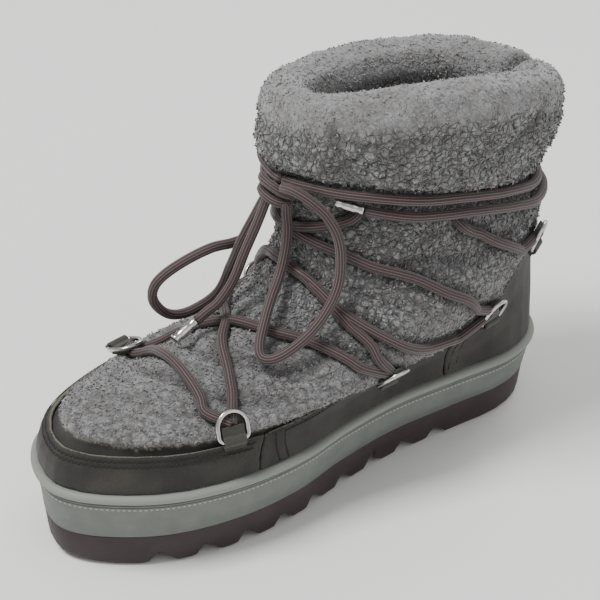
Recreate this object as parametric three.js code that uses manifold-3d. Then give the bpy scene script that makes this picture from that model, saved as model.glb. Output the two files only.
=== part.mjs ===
// Sheepskin boot for the right foot: a furry upper that is laced round the ankle, a leather foxing
// with D-rings, and a platform sole with a saw-tooth tread. Millimetres, +Z up.
// The toe points along -Y, the inner (medial) side is +X, and the sole stands on z = 0.
import * as THREE from "three";
import { mergeVertices } from "three/addons/utils/BufferGeometryUtils.js";
import Module from "manifold-3d";

const wasm = await Module();
wasm.setup();

// ---- Driving sizes ---------------------------------------------------------------------------
const LENGTH = 280; // sole, from toe to heel
const BALL_WIDTH = 108; // sole, across the ball of the foot
const SOLE_TOP = { toe: 41.5, heel: 35.5 }; // height of the midsole's upper face
const OUTSOLE_TOP = { toe: 17, heel: 16 }; // height of the line between outsole and midsole
const GAP = 0.3; // kept between pieces that touch
const FUR = 5; // how far the fur stands out past the leather
const LEATHER = 2; // thickness of the foxing and the heel counter
const INSOLE = 6;
const LACE = 4.8; // diameter of the cord
const WIRE = 2.2; // diameter of the D-rings' wire
const AROUND = 48; // columns of the upper, once round the foot

// ---- Finishes --------------------------------------------------------------------------------
const finish = (color, roughness, metalness = 0) =>
  new THREE.MeshStandardMaterial({ color, roughness, metalness });
const FLEECE = finish(0x7c7b7b, 1);
const NUBUCK = finish(0x37352f, 0.85);
const MIDSOLE = finish(0x7b827b, 0.6);
const TREAD = finish(0x362a2b, 0.7);
const CORD = finish(0x4b3a3b, 0.8);
const NICKEL = finish(0xc8c8c8, 0.25, 1);

// ---- Tables ----------------------------------------------------------------------------------
// The sole's outline: `at` is the share of LENGTH from the toe, the half widths are shares of BALL_WIDTH.
const OUTLINE = [
  { at: 0.0, medial: 0.05, lateral: -0.05 },
  { at: 0.05, medial: 0.27, lateral: 0.26 },
  { at: 0.15, medial: 0.425, lateral: 0.413 },
  { at: 0.27, medial: 0.485, lateral: 0.503 },
  { at: 0.39, medial: 0.466, lateral: 0.512 },
  { at: 0.5, medial: 0.391, lateral: 0.472 },
  { at: 0.62, medial: 0.337, lateral: 0.424 },
  { at: 0.75, medial: 0.327, lateral: 0.384 },
  { at: 0.87, medial: 0.318, lateral: 0.343 },
  { at: 0.95, medial: 0.232, lateral: 0.24 },
  { at: 1.0, medial: 0.0, lateral: 0.0 },
];

// Sections of the furry form from the feather line up to the collar. Each is a tilted ring: its front and
// back points, its half widths, its share of the footprint's outline, how far each side sags below the
// plane of the ring, how far the medial side rises above it, how far its front lies to the inside of the
// foot, and the wall inside it.
const SECTIONS = [
  {
    frontY: -140, frontZ: 41.8, backY: 140, backZ: 35.8, medial: 52.4, lateral: 55.3,
    foot: 1, sagM: 0, sagL: 0, rise: 0, ridge: 0, wall: 11,
  },
  {
    frontY: -138.5, frontZ: 51, backY: 140, backZ: 46, medial: 51.5, lateral: 54,
    foot: 1, sagM: 0, sagL: 0, rise: 0, ridge: 0, wall: 11,
  },
  {
    frontY: -133, frontZ: 60, backY: 139.5, backZ: 56, medial: 51, lateral: 53.5,
    foot: 0.65, sagM: 2, sagL: 3, rise: 0, ridge: 1, wall: 11,
  },
  {
    frontY: -126, frontZ: 66, backY: 139, backZ: 66, medial: 51, lateral: 53.5,
    foot: 0.3, sagM: 7, sagL: 11, rise: 0, ridge: 3, wall: 11,
  },
  {
    frontY: -115, frontZ: 71, backY: 138, backZ: 76, medial: 51, lateral: 53.5,
    foot: 0.1, sagM: 12, sagL: 21, rise: 0, ridge: 6, wall: 11,
  },
  {
    frontY: -98, frontZ: 74.5, backY: 137, backZ: 86, medial: 51, lateral: 53,
    foot: 0, sagM: 17, sagL: 28, rise: 0, ridge: 7, wall: 11,
  },
  {
    frontY: -76, frontZ: 77.5, backY: 136, backZ: 95, medial: 51.5, lateral: 53,
    foot: 0, sagM: 17, sagL: 29, rise: 0, ridge: 7, wall: 11,
  },
  {
    frontY: -52, frontZ: 81.5, backY: 134.5, backZ: 103, medial: 51.5, lateral: 52.5,
    foot: 0, sagM: 13, sagL: 25, rise: 0, ridge: 7, wall: 11.5,
  },
  {
    frontY: -28, frontZ: 89.5, backY: 132.5, backZ: 110, medial: 50.5, lateral: 50.5,
    foot: 0, sagM: 9, sagL: 17, rise: 0, ridge: 6, wall: 12,
  },
  {
    frontY: -8.5, frontZ: 107, backY: 130, backZ: 117, medial: 49, lateral: 48,
    foot: 0, sagM: 4, sagL: 6, rise: 0, ridge: 3, wall: 12,
  },
  {
    frontY: -4.5, frontZ: 128, backY: 128.5, backZ: 124, medial: 46, lateral: 46,
    foot: 0, sagM: 1, sagL: 2, rise: 0, ridge: 1, wall: 12,
  },
  {
    frontY: -6, frontZ: 147, backY: 129, backZ: 131, medial: 46.5, lateral: 46.5,
    foot: 0, sagM: 0, sagL: 0, rise: 0, ridge: 0, wall: 13,
  },
  {
    frontY: -13, frontZ: 157, backY: 135, backZ: 139, medial: 52, lateral: 52,
    foot: 0, sagM: 0, sagL: 2, rise: 4, ridge: 0, wall: 18,
  },
  {
    frontY: -17, frontZ: 169, backY: 140, backZ: 152, medial: 55.3, lateral: 54,
    foot: 0, sagM: 0, sagL: 6, rise: 9, ridge: 0, wall: 23,
  },
  {
    frontY: -15.5, frontZ: 183.5, backY: 140, backZ: 165, medial: 55.3, lateral: 53.5,
    foot: 0, sagM: -2, sagL: 9, rise: 12, ridge: 0, wall: 24,
  },
];
const RIM_RISE = 12; // the rolled collar stands this far above the last section

const NOTCH = { foot: 2, mouth: 16, depth: 13 }; // the split at the back of the collar

// Section numbers, along each side from the toe, of the foxing's cut edge and of the line where the fur
// begins.
const EDGES = [
  { at: 0.0, leather: 2, fur: 2.75 },
  { at: 0.14, leather: 2.1, fur: 2.9 },
  { at: 0.23, leather: 2.05, fur: 2.9 },
  { at: 0.34, leather: 1.95, fur: 2.4 },
  { at: 0.45, leather: 2, fur: 2.3 },
  { at: 0.54, leather: 2.2, fur: 2.45 },
  { at: 0.64, leather: 2, fur: 2.2 },
  { at: 0.7, leather: 2.05, fur: 2.2 },
  { at: 0.77, leather: 2.8, fur: 2.95 },
  { at: 0.81, leather: 3.8, fur: 3.95 },
  { at: 0.88, leather: 5.9, fur: 6.05 },
  { at: 1.0, leather: 7.8, fur: 7.95 },
];

// ---- Interpolation ---------------------------------------------------------------------------
const mix = THREE.MathUtils.lerp;
const angleAt = (at) => Math.acos(1 - 2 * at);

/** A table's column as a smooth function of its key, through every row. */
function column(rows, keyOf, name) {
  const keys = rows.map(keyOf);
  const values = rows.map((row) => row[name]);
  const slopes = values.map((_, i) => {
    const a = Math.max(i - 1, 0);
    const b = Math.min(i + 1, rows.length - 1);
    return (values[b] - values[a]) / (keys[b] - keys[a]);
  });
  return (key) => {
    let i = 0;
    while (i < rows.length - 2 && key > keys[i + 1]) i += 1;
    const span = keys[i + 1] - keys[i];
    const t = THREE.MathUtils.clamp((key - keys[i]) / span, 0, 1);
    const blend = t * t * (3 - 2 * t);
    return (
      mix(values[i], values[i + 1], blend) +
      span * (slopes[i] * t * (1 - t) ** 2 - slopes[i + 1] * t * t * (1 - t))
    );
  };
}

/** Every named column of a table, as functions of its key. */
function columns(rows, keyOf, names) {
  return Object.fromEntries(names.map((name) => [name, column(rows, keyOf, name)]));
}

const outline = columns(OUTLINE, (row) => angleAt(row.at), ["medial", "lateral"]);
const edges = columns(EDGES, (row) => angleAt(row.at), ["leather", "fur"]);
const section = columns(
  SECTIONS,
  (row) => SECTIONS.indexOf(row),
  Object.keys(SECTIONS[0]),
);

// Angles run from 0 at the toe to +180 degrees at the heel on the medial side, and negative laterally.
const wrapped = (angle) => THREE.MathUtils.euclideanModulo(angle + Math.PI, 2 * Math.PI) - Math.PI;
const share = (angle) => (1 - Math.cos(angle)) / 2;
const soleTop = (y) => mix(SOLE_TOP.toe, SOLE_TOP.heel, (y + LENGTH / 2) / LENGTH);
const outsoleTop = (y) => mix(OUTSOLE_TOP.toe, OUTSOLE_TOP.heel, (y + LENGTH / 2) / LENGTH);
const sideOf = (angle) => (angle < 0 ? -1 : 1);
const halfWidth = (angle) =>
  BALL_WIDTH * (angle < 0 ? outline.lateral(-angle) : outline.medial(angle));

/** The sole's outline at an angle, moved inwards by `inset`. */
function footprint(angle, inset) {
  const at = (a) => new THREE.Vector2(sideOf(a) * halfWidth(a), -Math.cos(a) * (LENGTH / 2));
  const step = 0.01;
  const along = at(wrapped(angle + step)).sub(at(wrapped(angle - step))).normalize();
  return at(angle).add(new THREE.Vector2(-along.y, along.x).multiplyScalar(inset));
}

/** A point of the furry form, at an angle round the foot and a section number that may be fractional. */
function formPoint(turn, level) {
  const angle = wrapped(turn);
  const s = Math.abs(Math.sin(angle));
  const reach = share(angle);
  const rise = Math.sin(angle) > 0 ? section.rise(level) * s * s : 0;
  const wide = angle < 0 ? section.lateral(level) : section.medial(level);
  const ball = BALL_WIDTH * (angle < 0 ? 0.512 : 0.485);
  const foot = section.foot(level);
  const x = mix(wide * s, (halfWidth(angle) * wide) / ball, foot);
  const sag = angle < 0 ? section.sagL(level) : section.sagM(level);
  return new THREE.Vector3(
    sideOf(angle) * x + section.ridge(level) * (1 - reach) ** 2,
    mix(section.frontY(level), section.backY(level), reach),
    mix(section.frontZ(level), section.backZ(level), reach) + rise - 1.5 * sag * (s * (1 - reach)) ** 2,
  );
}

/** The form's outward normal. */
function formNormal(angle, level) {
  const step = 0.02;
  const low = Math.max(level - step, 0);
  const high = Math.min(level + step, SECTIONS.length - 1);
  const round = formPoint(angle + step, level).sub(formPoint(angle - step, level));
  const rise = formPoint(angle, high).sub(formPoint(angle, low));
  return round.cross(rise).normalize();
}

/** The form moved along its normal; where a wall's foot would leave the sole's plane it stays on it. */
function offsetForm(angle, level, distance) {
  const p = formPoint(angle, level).addScaledVector(formNormal(angle, level), distance);
  p.z = Math.max(p.z, soleTop(p.y) + GAP);
  return p;
}

// ---- Solids ----------------------------------------------------------------------------------
/** A geometry with shared vertices, so that it is one closed surface. */
function welded(geometry) {
  geometry.deleteAttribute("normal");
  geometry.deleteAttribute("uv");
  return mergeVertices(geometry, 1e-4);
}

/** A grid of points as a surface; each row is closed, and the rows are too unless `capped`. */
function gridSolid(rows, capped) {
  const across = rows[0].length;
  const indices = [];
  const quad = (a, b, c, d) => indices.push(a, b, c, a, c, d);
  const last = capped ? rows.length - 1 : rows.length;
  for (let r = 0; r < last; r += 1)
    for (let c = 0; c < across; c += 1) {
      const next = (c + 1) % across;
      const up = ((r + 1) % rows.length) * across;
      quad(r * across + c, r * across + next, up + next, up + c);
    }
  if (capped)
    for (const [start, flip] of [[0, true], [(rows.length - 1) * across, false]])
      for (let c = 0; c < across / 2 - 1; c += 1) {
        const ring = [c, c + 1, across - 2 - c, across - 1 - c].map((k) => start + k);
        quad(...(flip ? ring.reverse() : ring));
      }
  const geometry = new THREE.BufferGeometry().setFromPoints(rows.flat());
  geometry.setIndex(indices);
  return welded(geometry);
}

const solidOf = (geometry) =>
  new wasm.Manifold(
    new wasm.Mesh({
      numProp: 3,
      vertProperties: geometry.attributes.position.array,
      triVerts: new Uint32Array(geometry.index.array),
    }),
  );

function geometryOf(solid) {
  const mesh = solid.getMesh();
  const geometry = new THREE.BufferGeometry();
  geometry.setAttribute("position", new THREE.BufferAttribute(mesh.vertProperties, 3));
  geometry.setIndex(new THREE.BufferAttribute(mesh.triVerts, 1));
  return geometry;
}

const boot = new THREE.Group();
function addNode(name, geometry, material) {
  const mesh = new THREE.Mesh(geometry, material);
  mesh.name = name;
  boot.add(mesh);
  return mesh;
}

/** Evenly spread angles, half a step off the toe and heel so that a cap's strips stay symmetric. */
const ringAngles = (count) =>
  Array.from({ length: count }, (_, i) => ((i + 0.5) / count) * 2 * Math.PI - Math.PI);

/** A slab that follows the footprint: `profile` gives rows of inset and height from bottom to top. */
function footprintSlab(count, profile) {
  const angles = ringAngles(count);
  return gridSolid(
    profile.map(({ inset, height }) =>
      angles.map((angle) => {
        const p = footprint(angle, inset);
        return new THREE.Vector3(p.x, p.y, height(p.y, angle));
      }),
    ),
    true,
  );
}

// ---- Sole ------------------------------------------------------------------------------------
/** The midsole: a drawn-in band under a round bead that runs along its upper edge. */
function midsole() {
  const below = (drop) => (y) => soleTop(y) - drop;
  return footprintSlab(56, [
    { inset: 4.7, height: (y) => outsoleTop(y) + GAP },
    { inset: 1.4, height: below(6.6) },
    { inset: 2.2, height: below(5.8) },
    { inset: 0.4, height: below(4.6) },
    { inset: 0, height: below(2.6) },
    { inset: 0.8, height: below(0.8) },
    { inset: 2.4, height: below(0) },
  ]);
}

const TOOTH = { first: -109.5, pitch: 20.4, count: 9, land: 6, steep: 4.5, depth: 6.8 };

/** The outsole: a smooth toe bumper and heel block, with saw teeth cut across between them. */
function outsole() {
  const toeSpring = (y) => 1.6 * THREE.MathUtils.smoothstep(-y, 112, 134);
  const heelRound = (y) => 1.5 * THREE.MathUtils.smoothstep(y, 124, 134);
  const block = footprintSlab(56, [
    { inset: 8.2, height: (y) => toeSpring(y) + heelRound(y) },
    { inset: 6.4, height: (y) => 2 + toeSpring(y) + heelRound(y) },
    { inset: 4.8, height: (y) => outsoleTop(y) },
  ]);
  let solid = solidOf(block);
  for (let i = 0; i < TOOTH.count; i += 1) {
    const start = TOOTH.first + TOOTH.pitch * i + TOOTH.land / 2;
    const notch = new THREE.Shape([
      new THREE.Vector2(start, -1),
      new THREE.Vector2(start, 0),
      new THREE.Vector2(start + TOOTH.steep, TOOTH.depth),
      new THREE.Vector2(start + TOOTH.steep + 2, TOOTH.depth),
      new THREE.Vector2(start + TOOTH.pitch - TOOTH.land, 0),
      new THREE.Vector2(start + TOOTH.pitch - TOOTH.land, -1),
    ]);
    const cutter = new THREE.ExtrudeGeometry(notch, { depth: 2 * BALL_WIDTH, bevelEnabled: false });
    cutter.rotateX(Math.PI / 2).rotateZ(Math.PI / 2).translate(-BALL_WIDTH, 0, 0);
    solid = solid.subtract(solidOf(welded(cutter)));
  }
  return geometryOf(solid);
}

// ---- Upper -----------------------------------------------------------------------------------
const TOP = SECTIONS.length - 1;
const spread = (count, from, to) => Array.from({ length: count }, (_, i) => mix(from, to, i / count));

/** Levels of the leather band at an angle, from the feather line up to its cut edge. */
function leatherLevels(angle) {
  const edge = edges.leather(Math.abs(wrapped(angle)));
  return [...spread(4, 0, edge), edge];
}

/**
 * The outside of one column, from the feather line up: leather, the step on to the fur, and fur. Each entry
 * is a level and how far it lies under the form.
 */
function outerColumn(angle) {
  const edge = edges.fur(Math.abs(angle));
  const leather = leatherLevels(angle).map((level) => ({ level, depth: FUR }));
  const step = [
    { level: edge - 0.12, depth: FUR },
    { level: edge - 0.02, depth: 0.5 * FUR },
    { level: edge + 0.2, depth: 0.12 * FUR },
  ];
  const fur = spread(13, edge + 0.5, TOP).map((level) => ({ level, depth: 0 }));
  return [...leather, ...step, ...fur, { level: TOP, depth: 0 }];
}

/** One hollow wall: up the outside, over the rolled collar and down the inside to the feather line. */
function upper() {
  const angles = ringAngles(AROUND);
  const outerColumns = angles.map((angle) =>
    outerColumn(angle).map(({ level, depth }) => offsetForm(angle, level, -depth)),
  );
  const outer = outerColumns[0].map((_, row) => outerColumns.map((points) => points[row]));
  const inner = [...spread(10, 0, TOP), TOP].map((level) =>
    angles.map((angle) => offsetForm(angle, level, -section.wall(level))),
  );
  const rim = [45, 90, 135].map((turn) =>
    angles.map((angle) => {
      const out = formPoint(angle, TOP);
      const middle = out.clone().add(offsetForm(angle, TOP, -section.wall(TOP))).multiplyScalar(0.5);
      const roll = THREE.MathUtils.degToRad(turn);
      const p = middle.clone().addScaledVector(out.sub(middle), Math.cos(roll));
      p.z += RIM_RISE * Math.sin(roll);
      return p;
    }),
  );
  const wall = gridSolid([...outer, ...rim, ...inner.reverse()], false);
  return geometryOf(solidOf(wall).subtract(solidOf(backNotch())));
}

/** The wedge cut out of the collar where its two ends meet at the back. */
function backNotch() {
  const notch = new THREE.Shape([
    new THREE.Vector2(-NOTCH.foot / 2, SECTIONS[TOP].backZ + RIM_RISE - NOTCH.depth),
    new THREE.Vector2(NOTCH.foot / 2, SECTIONS[TOP].backZ + RIM_RISE - NOTCH.depth),
    new THREE.Vector2(NOTCH.mouth / 2, SECTIONS[TOP].backZ + 2 * RIM_RISE),
    new THREE.Vector2(-NOTCH.mouth / 2, SECTIONS[TOP].backZ + 2 * RIM_RISE),
  ]);
  const wedge = new THREE.ExtrudeGeometry(notch, { depth: LENGTH / 4, bevelEnabled: false });
  wedge.rotateX(Math.PI / 2).translate(0, LENGTH * 0.6, 0);
  return welded(wedge);
}

/** The insole fills the sole's upper face inside the upper's wall. */
function insole() {
  const angles = ringAngles(AROUND);
  const clear = -(section.wall(0) + GAP + 0.2);
  return gridSolid(
    [GAP, INSOLE].map((height) =>
      angles.map((angle) => {
        const out = formNormal(angle, 0).setZ(0).normalize();
        const p = formPoint(angle, 0).addScaledVector(out, clear - height * 0.15);
        p.z = soleTop(p.y) + height;
        return p;
      }),
    ),
    true,
  );
}

// ---- Leather bands ---------------------------------------------------------------------------
const SEAMS = { toe: 0.3, heel: 0.725 }; // shares of the length where the bands meet
const LINER = 0.55; // between the upper and the bands

/** A leather band between two offsets of the form, from one angle round to another. */
function band(from, to) {
  const inside = ringAngles(AROUND)
    .flatMap((angle) => [angle, angle + 2 * Math.PI])
    .filter((angle) => angle > from + 0.03 && angle < to - 0.03)
    .sort((a, b) => a - b);
  const rows = [from, ...inside, to].map((angle) => {
    const levels = leatherLevels(angle);
    const back = levels.map((level) => offsetForm(angle, level, LINER - FUR));
    const face = levels.map((level) => offsetForm(angle, level, LINER + LEATHER - FUR));
    return [...face.reverse(), ...back];
  });
  return gridSolid(rows, true);
}

// ---- D-rings ---------------------------------------------------------------------------------
// `above` is how many sections over the cut edge the bar lies, `bar` and `top` are heights over the fur, and
// `reach` is how near to its middle a lace may come.
const RING = { width: 16.2, height: 15.5, corner: 2.6, above: 0.4, bar: 2.3, top: 5.4, reach: 8.7 };
const TAB = { width: 10.4, tail: 4, tip: 6.6, thick: 1.6, eye: 2.5 };
const RINGS = [
  { pair: 1, at: 0.228 },
  { pair: 2, at: 0.54 },
  { pair: 3, at: 0.775 },
  { pair: 4, at: 0.88 },
];

/** The frame of a ring: x across it, y up along the form, z out of the form, and its origin on the bar. */
function ringFrame(at, side) {
  const angle = side * angleAt(at);
  const level = edges.leather(angleAt(at)) + RING.above;
  const out = formNormal(angle, level + RING.above);
  const up = new THREE.Vector3(0, 0, 1).addScaledVector(out, -out.z).normalize();
  up.addScaledVector(out, (RING.top - RING.bar) / RING.height).normalize();
  const across = up.clone().cross(out).normalize();
  const bar = offsetForm(angle, level, RING.bar);
  return new THREE.Matrix4().makeBasis(across, up, across.clone().cross(up)).setPosition(bar);
}

/** A wire D: a flat bar with round corners under a half-round top. */
function ringShape() {
  const half = (RING.width - WIRE) / 2;
  const corner = RING.corner;
  const rise = RING.height - WIRE - half;
  const arc = (x, y, radius, from, to, count) =>
    Array.from({ length: count }, (_, i) => {
      const a = THREE.MathUtils.degToRad(mix(from, to, i / (count - 1)));
      return new THREE.Vector3(x + radius * Math.cos(a), y + radius * Math.sin(a), 0);
    });
  const path = [
    ...arc(corner - half, corner, corner, 270, 180, 3),
    ...arc(0, rise, half, 180, 0, 6),
    ...arc(half - corner, corner, corner, 0, -90, 3),
  ];
  const rows = path.map((p, i) => {
    const along = path[(i + 1) % path.length].clone().sub(path.at(i - 1)).normalize();
    const inwards = new THREE.Vector3(-along.y, along.x, 0);
    return Array.from({ length: 6 }, (_, k) => {
      const turn = (k / 6) * 2 * Math.PI;
      const q = p.clone().addScaledVector(inwards, (Math.cos(turn) * WIRE) / 2);
      q.z += (Math.sin(turn) * WIRE) / 2;
      return q;
    });
  });
  return gridSolid(rows, false);
}

/** The leather tab that wraps the ring's bar, as a section drawn up and out, extruded across the ring. */
function tabShape() {
  const flat = TAB.thick / 2;
  const swing = Math.asin(flat / TAB.eye);
  const section = new THREE.Shape();
  section.moveTo(-TAB.tail, -flat);
  section.absarc(0, 0, TAB.eye, Math.PI + swing, 2 * Math.PI - swing, false);
  section.lineTo(TAB.tip, -flat);
  section.lineTo(TAB.tip, flat);
  section.absarc(0, 0, TAB.eye, swing, Math.PI - swing, false);
  section.lineTo(-TAB.tail, flat);
  section.holes.push(new THREE.Path().absarc(0, 0, WIRE / 2 + GAP, 0, 2 * Math.PI, true));
  const plate = new THREE.ExtrudeGeometry(section, {
    depth: TAB.width,
    curveSegments: 4,
    bevelEnabled: false,
  });
  plate.translate(0, 0, -TAB.width / 2);
  plate.applyMatrix4(
    new THREE.Matrix4().makeBasis(
      new THREE.Vector3(0, 1, 0),
      new THREE.Vector3(0, 0, 1),
      new THREE.Vector3(1, 0, 0),
    ),
  );
  return welded(plate);
}

// ---- Laces -----------------------------------------------------------------------------------
const KNOT = { at: new THREE.Vector3(4, -14.5, 150), radius: 6 };
const CLEAR = 1.2; // under a tight lace, over the fur
const AGLET = { length: 13, radius: 2.1 };
const vectors = (rows) => rows.map(([x, y, z]) => new THREE.Vector3(x, y, z));
const mirrored = (rows) => rows.map(([x, y, z]) => [-x, y, z]);

// Routes of the tight laces over the fur. Each is drawn on to the fur by its height.
const BAR = [
  [34, -75, 68], [26, -73, 71], [13, -72, 75], [-5, -70, 74], [-20, -67, 69], [-36, -68, 61],
];
const OUT_TO_PAIR_2 = [
  [33, -60, 71], [23, -55, 76], [9, -48, 81], [-2, -38, 84], [-18, -28, 81], [-35, -15, 74],
  [-48, -2, 66],
];
const IN_TO_PAIR_2 = [
  [-38, -62, 63], [-31, -48, 67], [-12, -42, 79], [-3, -38, 84], [19, -29, 87], [33, -18, 85],
  [43, -11, 82], [51, -3, 76],
];
const OUT_TO_PAIR_3 = [
  [52, 6, 78], [48, 4, 85], [41, 0, 90], [25, -5, 101], [10, -7, 107], [-19, -6, 105], [-34, -1, 96],
  [-45, 6, 90], [-53, 19, 81], [-51, 38, 73], [-46, 58, 68],
];
const IN_TO_PAIR_3 = mirrored(OUT_TO_PAIR_3);
const OUT_TO_ANKLE = [
  [49, 66, 82], [51, 58, 91], [52, 44, 100], [45, 30, 109], [35, 15, 115], [27, 6, 120], [11, -2, 124],
  [1, -4, 126], [-12, -3, 130], [-22, 1, 134],
];
const IN_TO_ANKLE = mirrored(OUT_TO_ANKLE);
const HEEL_TO_ANKLE = [
  [42, 95, 102], [47, 83, 110], [48, 73, 116], [47, 65, 122], [46, 57, 127],
];
const WRAP = [
  [12.5, -10, 154.5], [21, -6, 155], [35, 7, 153], [41, 18, 151], [45, 31, 148.5], [48, 50, 146.5],
  [47, 67, 143], [42, 89, 136], [36, 106, 129.5], [20, 124, 126], [0, 130, 125], [-20, 124, 126],
  [-36, 106, 129.5], [-42, 89, 136], [-47, 67, 143], [-47, 45, 146.5], [-43, 25, 149.5], [-35, 8, 151],
  [-21, -5, 153], [-5, -9, 152],
];

// Routes of the free laces: the bow's two loops and the two ends.
const LOOP_INNER = [
  [12.3, -17, 146.5], [10, -15, 140], [8.4, -13, 131], [8, -13.5, 120.6], [10.1, -18, 109.5],
  [16, -27, 102], [22.5, -35.5, 94.5], [27.5, -41, 89], [32, -43, 85.5], [36, -40, 85.5],
  [38.5, -33, 88.5], [39.5, -22.5, 94.5], [37.5, -12, 101.5], [36, -5, 111], [34.5, -2.5, 121],
  [32, -2.5, 133], [29, -7, 144], [25, -13.5, 152], [18.5, -18, 155.5], [12, -18.5, 154],
];
const LOOP_OUTER = [
  [2.5, -10.5, 142.3], [-7, -12.5, 138.5], [-14, -12, 130.5], [-17.5, -12.5, 122.5], [-17.5, -16, 116],
  [-17, -24.5, 115], [-17, -37, 116], [-20, -52, 111], [-22, -62.5, 104.5], [-23.5, -64.5, 97],
  [-25, -60, 88], [-26, -52, 81.5], [-25, -42.5, 81], [-19.5, -32, 89.5], [-13, -29, 106],
  [-9, -25.5, 120.5], [-5.5, -20, 134.5], [-1.5, -18, 144.2],
];
const END_FRONT = [
  [3.5, -21, 146], [1.5, -24.5, 134], [-0.5, -30, 119.5], [-2, -35, 106], [-3.5, -42, 96],
  [-4.7, -47.5, 92.3], [-5, -53, 89.2],
];
const END_ROUND = [
  [-4, -15, 145.3], [-12.5, -9.7, 144.3], [-23.5, -3, 144.5], [-34.5, 8, 144], [-45, 27.5, 141],
  [-49.5, 44.5, 138], [-50.5, 67, 134], [-46, 90, 128.5], [-38.5, 107, 122], [-22, 126, 120],
  [0, 133.5, 119], [22.5, 126, 120], [38.5, 108, 122], [46.5, 87, 128.5], [50.5, 67, 134.5],
  [50.5, 57, 136.5], [49, 42.5, 138.5], [45.5, 29, 140], [40, 17.5, 142.5], [35.5, 9, 145],
];

/** A grid of the form's points, to find the one nearest to a lace. */
const FORM_GRID = ringAngles(120).flatMap((angle) =>
  spread(70, 0.5, TOP).map((level) => ({
    at: formPoint(angle, level),
    out: formNormal(angle, level),
  })),
);

/** A point moved in or out until it stands at `height` over the fur. */
function overFur(point, height) {
  const p = point.clone();
  for (let pass = 0; pass < 3; pass += 1) {
    const near = FORM_GRID.reduce((a, b) =>
      b.at.distanceToSquared(p) < a.at.distanceToSquared(p) ? b : a,
    );
    p.addScaledVector(near.out, height - p.clone().sub(near.at).dot(near.out));
  }
  return p;
}

/** A round cord through the points. */
function cord(path) {
  const curve = new THREE.CatmullRomCurve3(path, false, "centripetal");
  const section = new THREE.Shape();
  section.absarc(0, 0, LACE / 2, 0, 2 * Math.PI, false);
  return welded(
    new THREE.ExtrudeGeometry(section, {
      curveSegments: 4,
      steps: Math.round(curve.getLength() / (2.5 * LACE)),
      extrudePath: curve,
      bevelEnabled: false,
    }),
  );
}

/** A tight lace: its route sampled and drawn to the fur, its ends cut back from the rings and the knot. */
function tightLace(route) {
  const curve = new THREE.CatmullRomCurve3(vectors(route), false, "centripetal");
  const count = Math.round(curve.getLength() / (1.2 * LACE));
  const stops = [...rings.map((ring) => ({ at: ring.middle, radius: RING.reach })), KNOT];
  const path = curve.getSpacedPoints(count).map((p) => overFur(p, LACE / 2 + CLEAR));
  const free = path.map((p) =>
    stops.every((stop) => p.distanceTo(stop.at) > stop.radius + LACE / 4 + GAP),
  );
  return solidOf(cord(path.slice(free.indexOf(true), free.lastIndexOf(true) + 1)));
}

const joined = (routes) => geometryOf(routes.map(tightLace).reduce((a, b) => a.add(b)));
const freeLace = (route) => cord(vectors(route));

/** The metal sleeve on a lace's end: it carries on from the route's last point towards `tip`. */
function aglet(route, tip) {
  const start = vectors(route).at(-1);
  const axis = tip.clone().sub(start).normalize();
  const sleeve = new THREE.CylinderGeometry(AGLET.radius, AGLET.radius, AGLET.length, 10);
  const turn = new THREE.Quaternion().setFromUnitVectors(new THREE.Vector3(0, 1, 0), axis);
  const middle = start.addScaledVector(axis, AGLET.length / 2 + 2 * GAP);
  sleeve.applyQuaternion(turn).translate(middle.x, middle.y, middle.z);
  return welded(sleeve);
}

// ---- Assembly --------------------------------------------------------------------------------
addNode("outsole", outsole(), TREAD);
addNode("midsole", midsole(), MIDSOLE);
addNode("insole", insole(), FLEECE);
addNode("upper", upper(), FLEECE);

const seam = GAP / LENGTH;
addNode("toe_foxing", band(-angleAt(SEAMS.toe), angleAt(SEAMS.toe)), NUBUCK);
addNode("quarter_medial", band(angleAt(SEAMS.toe + seam), angleAt(SEAMS.heel)), NUBUCK);
addNode("quarter_lateral", band(-angleAt(SEAMS.heel), -angleAt(SEAMS.toe + seam)), NUBUCK);
const heelSeam = angleAt(SEAMS.heel + seam);
addNode("heel_counter", band(heelSeam, 2 * Math.PI - heelSeam), NUBUCK);

const rings = ["medial", "lateral"].flatMap((side) =>
  RINGS.map(({ pair, at }) => {
    const frame = ringFrame(at, side === "medial" ? 1 : -1);
    const middle = new THREE.Vector3(0, RING.height / 2 - WIRE / 2, 0).applyMatrix4(frame);
    return { name: `${side}_${pair}`, frame, middle };
  }),
);
for (const ring of rings) {
  addNode(`ring_${ring.name}`, ringShape(), NICKEL).applyMatrix4(ring.frame);
  addNode(`tab_${ring.name}`, tabShape(), NUBUCK).applyMatrix4(ring.frame);
}

addNode("lace_bar", joined([BAR]), CORD);
addNode("lace_cross_1", joined([OUT_TO_PAIR_2, IN_TO_PAIR_2]), CORD);
addNode("lace_cross_2", joined([OUT_TO_PAIR_3, IN_TO_PAIR_3]), CORD);
addNode("lace_cross_3", joined([OUT_TO_ANKLE, IN_TO_ANKLE]), CORD);
addNode("lace_heel_medial", joined([HEEL_TO_ANKLE]), CORD);
addNode("lace_heel_lateral", joined([mirrored(HEEL_TO_ANKLE)]), CORD);
addNode("lace_ankle_wrap", joined([WRAP]), CORD);

const knot = new THREE.SphereGeometry(KNOT.radius, 12, 8).scale(1, 0.8, 1);
addNode("lace_knot", welded(knot), CORD).position.copy(KNOT.at);
addNode("lace_loop_inner", freeLace(LOOP_INNER), CORD);
addNode("lace_loop_outer", freeLace(LOOP_OUTER), CORD);
addNode("lace_end_front", freeLace(END_FRONT), CORD);
addNode("lace_end_round", freeLace(END_ROUND), CORD);
addNode("aglet_front", aglet(END_FRONT, new THREE.Vector3(-4, -72, 80.5)), NICKEL);
addNode("aglet_round", aglet(END_ROUND, new THREE.Vector3(25.5, -2.5, 149)), NICKEL);

export default boot;
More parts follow.
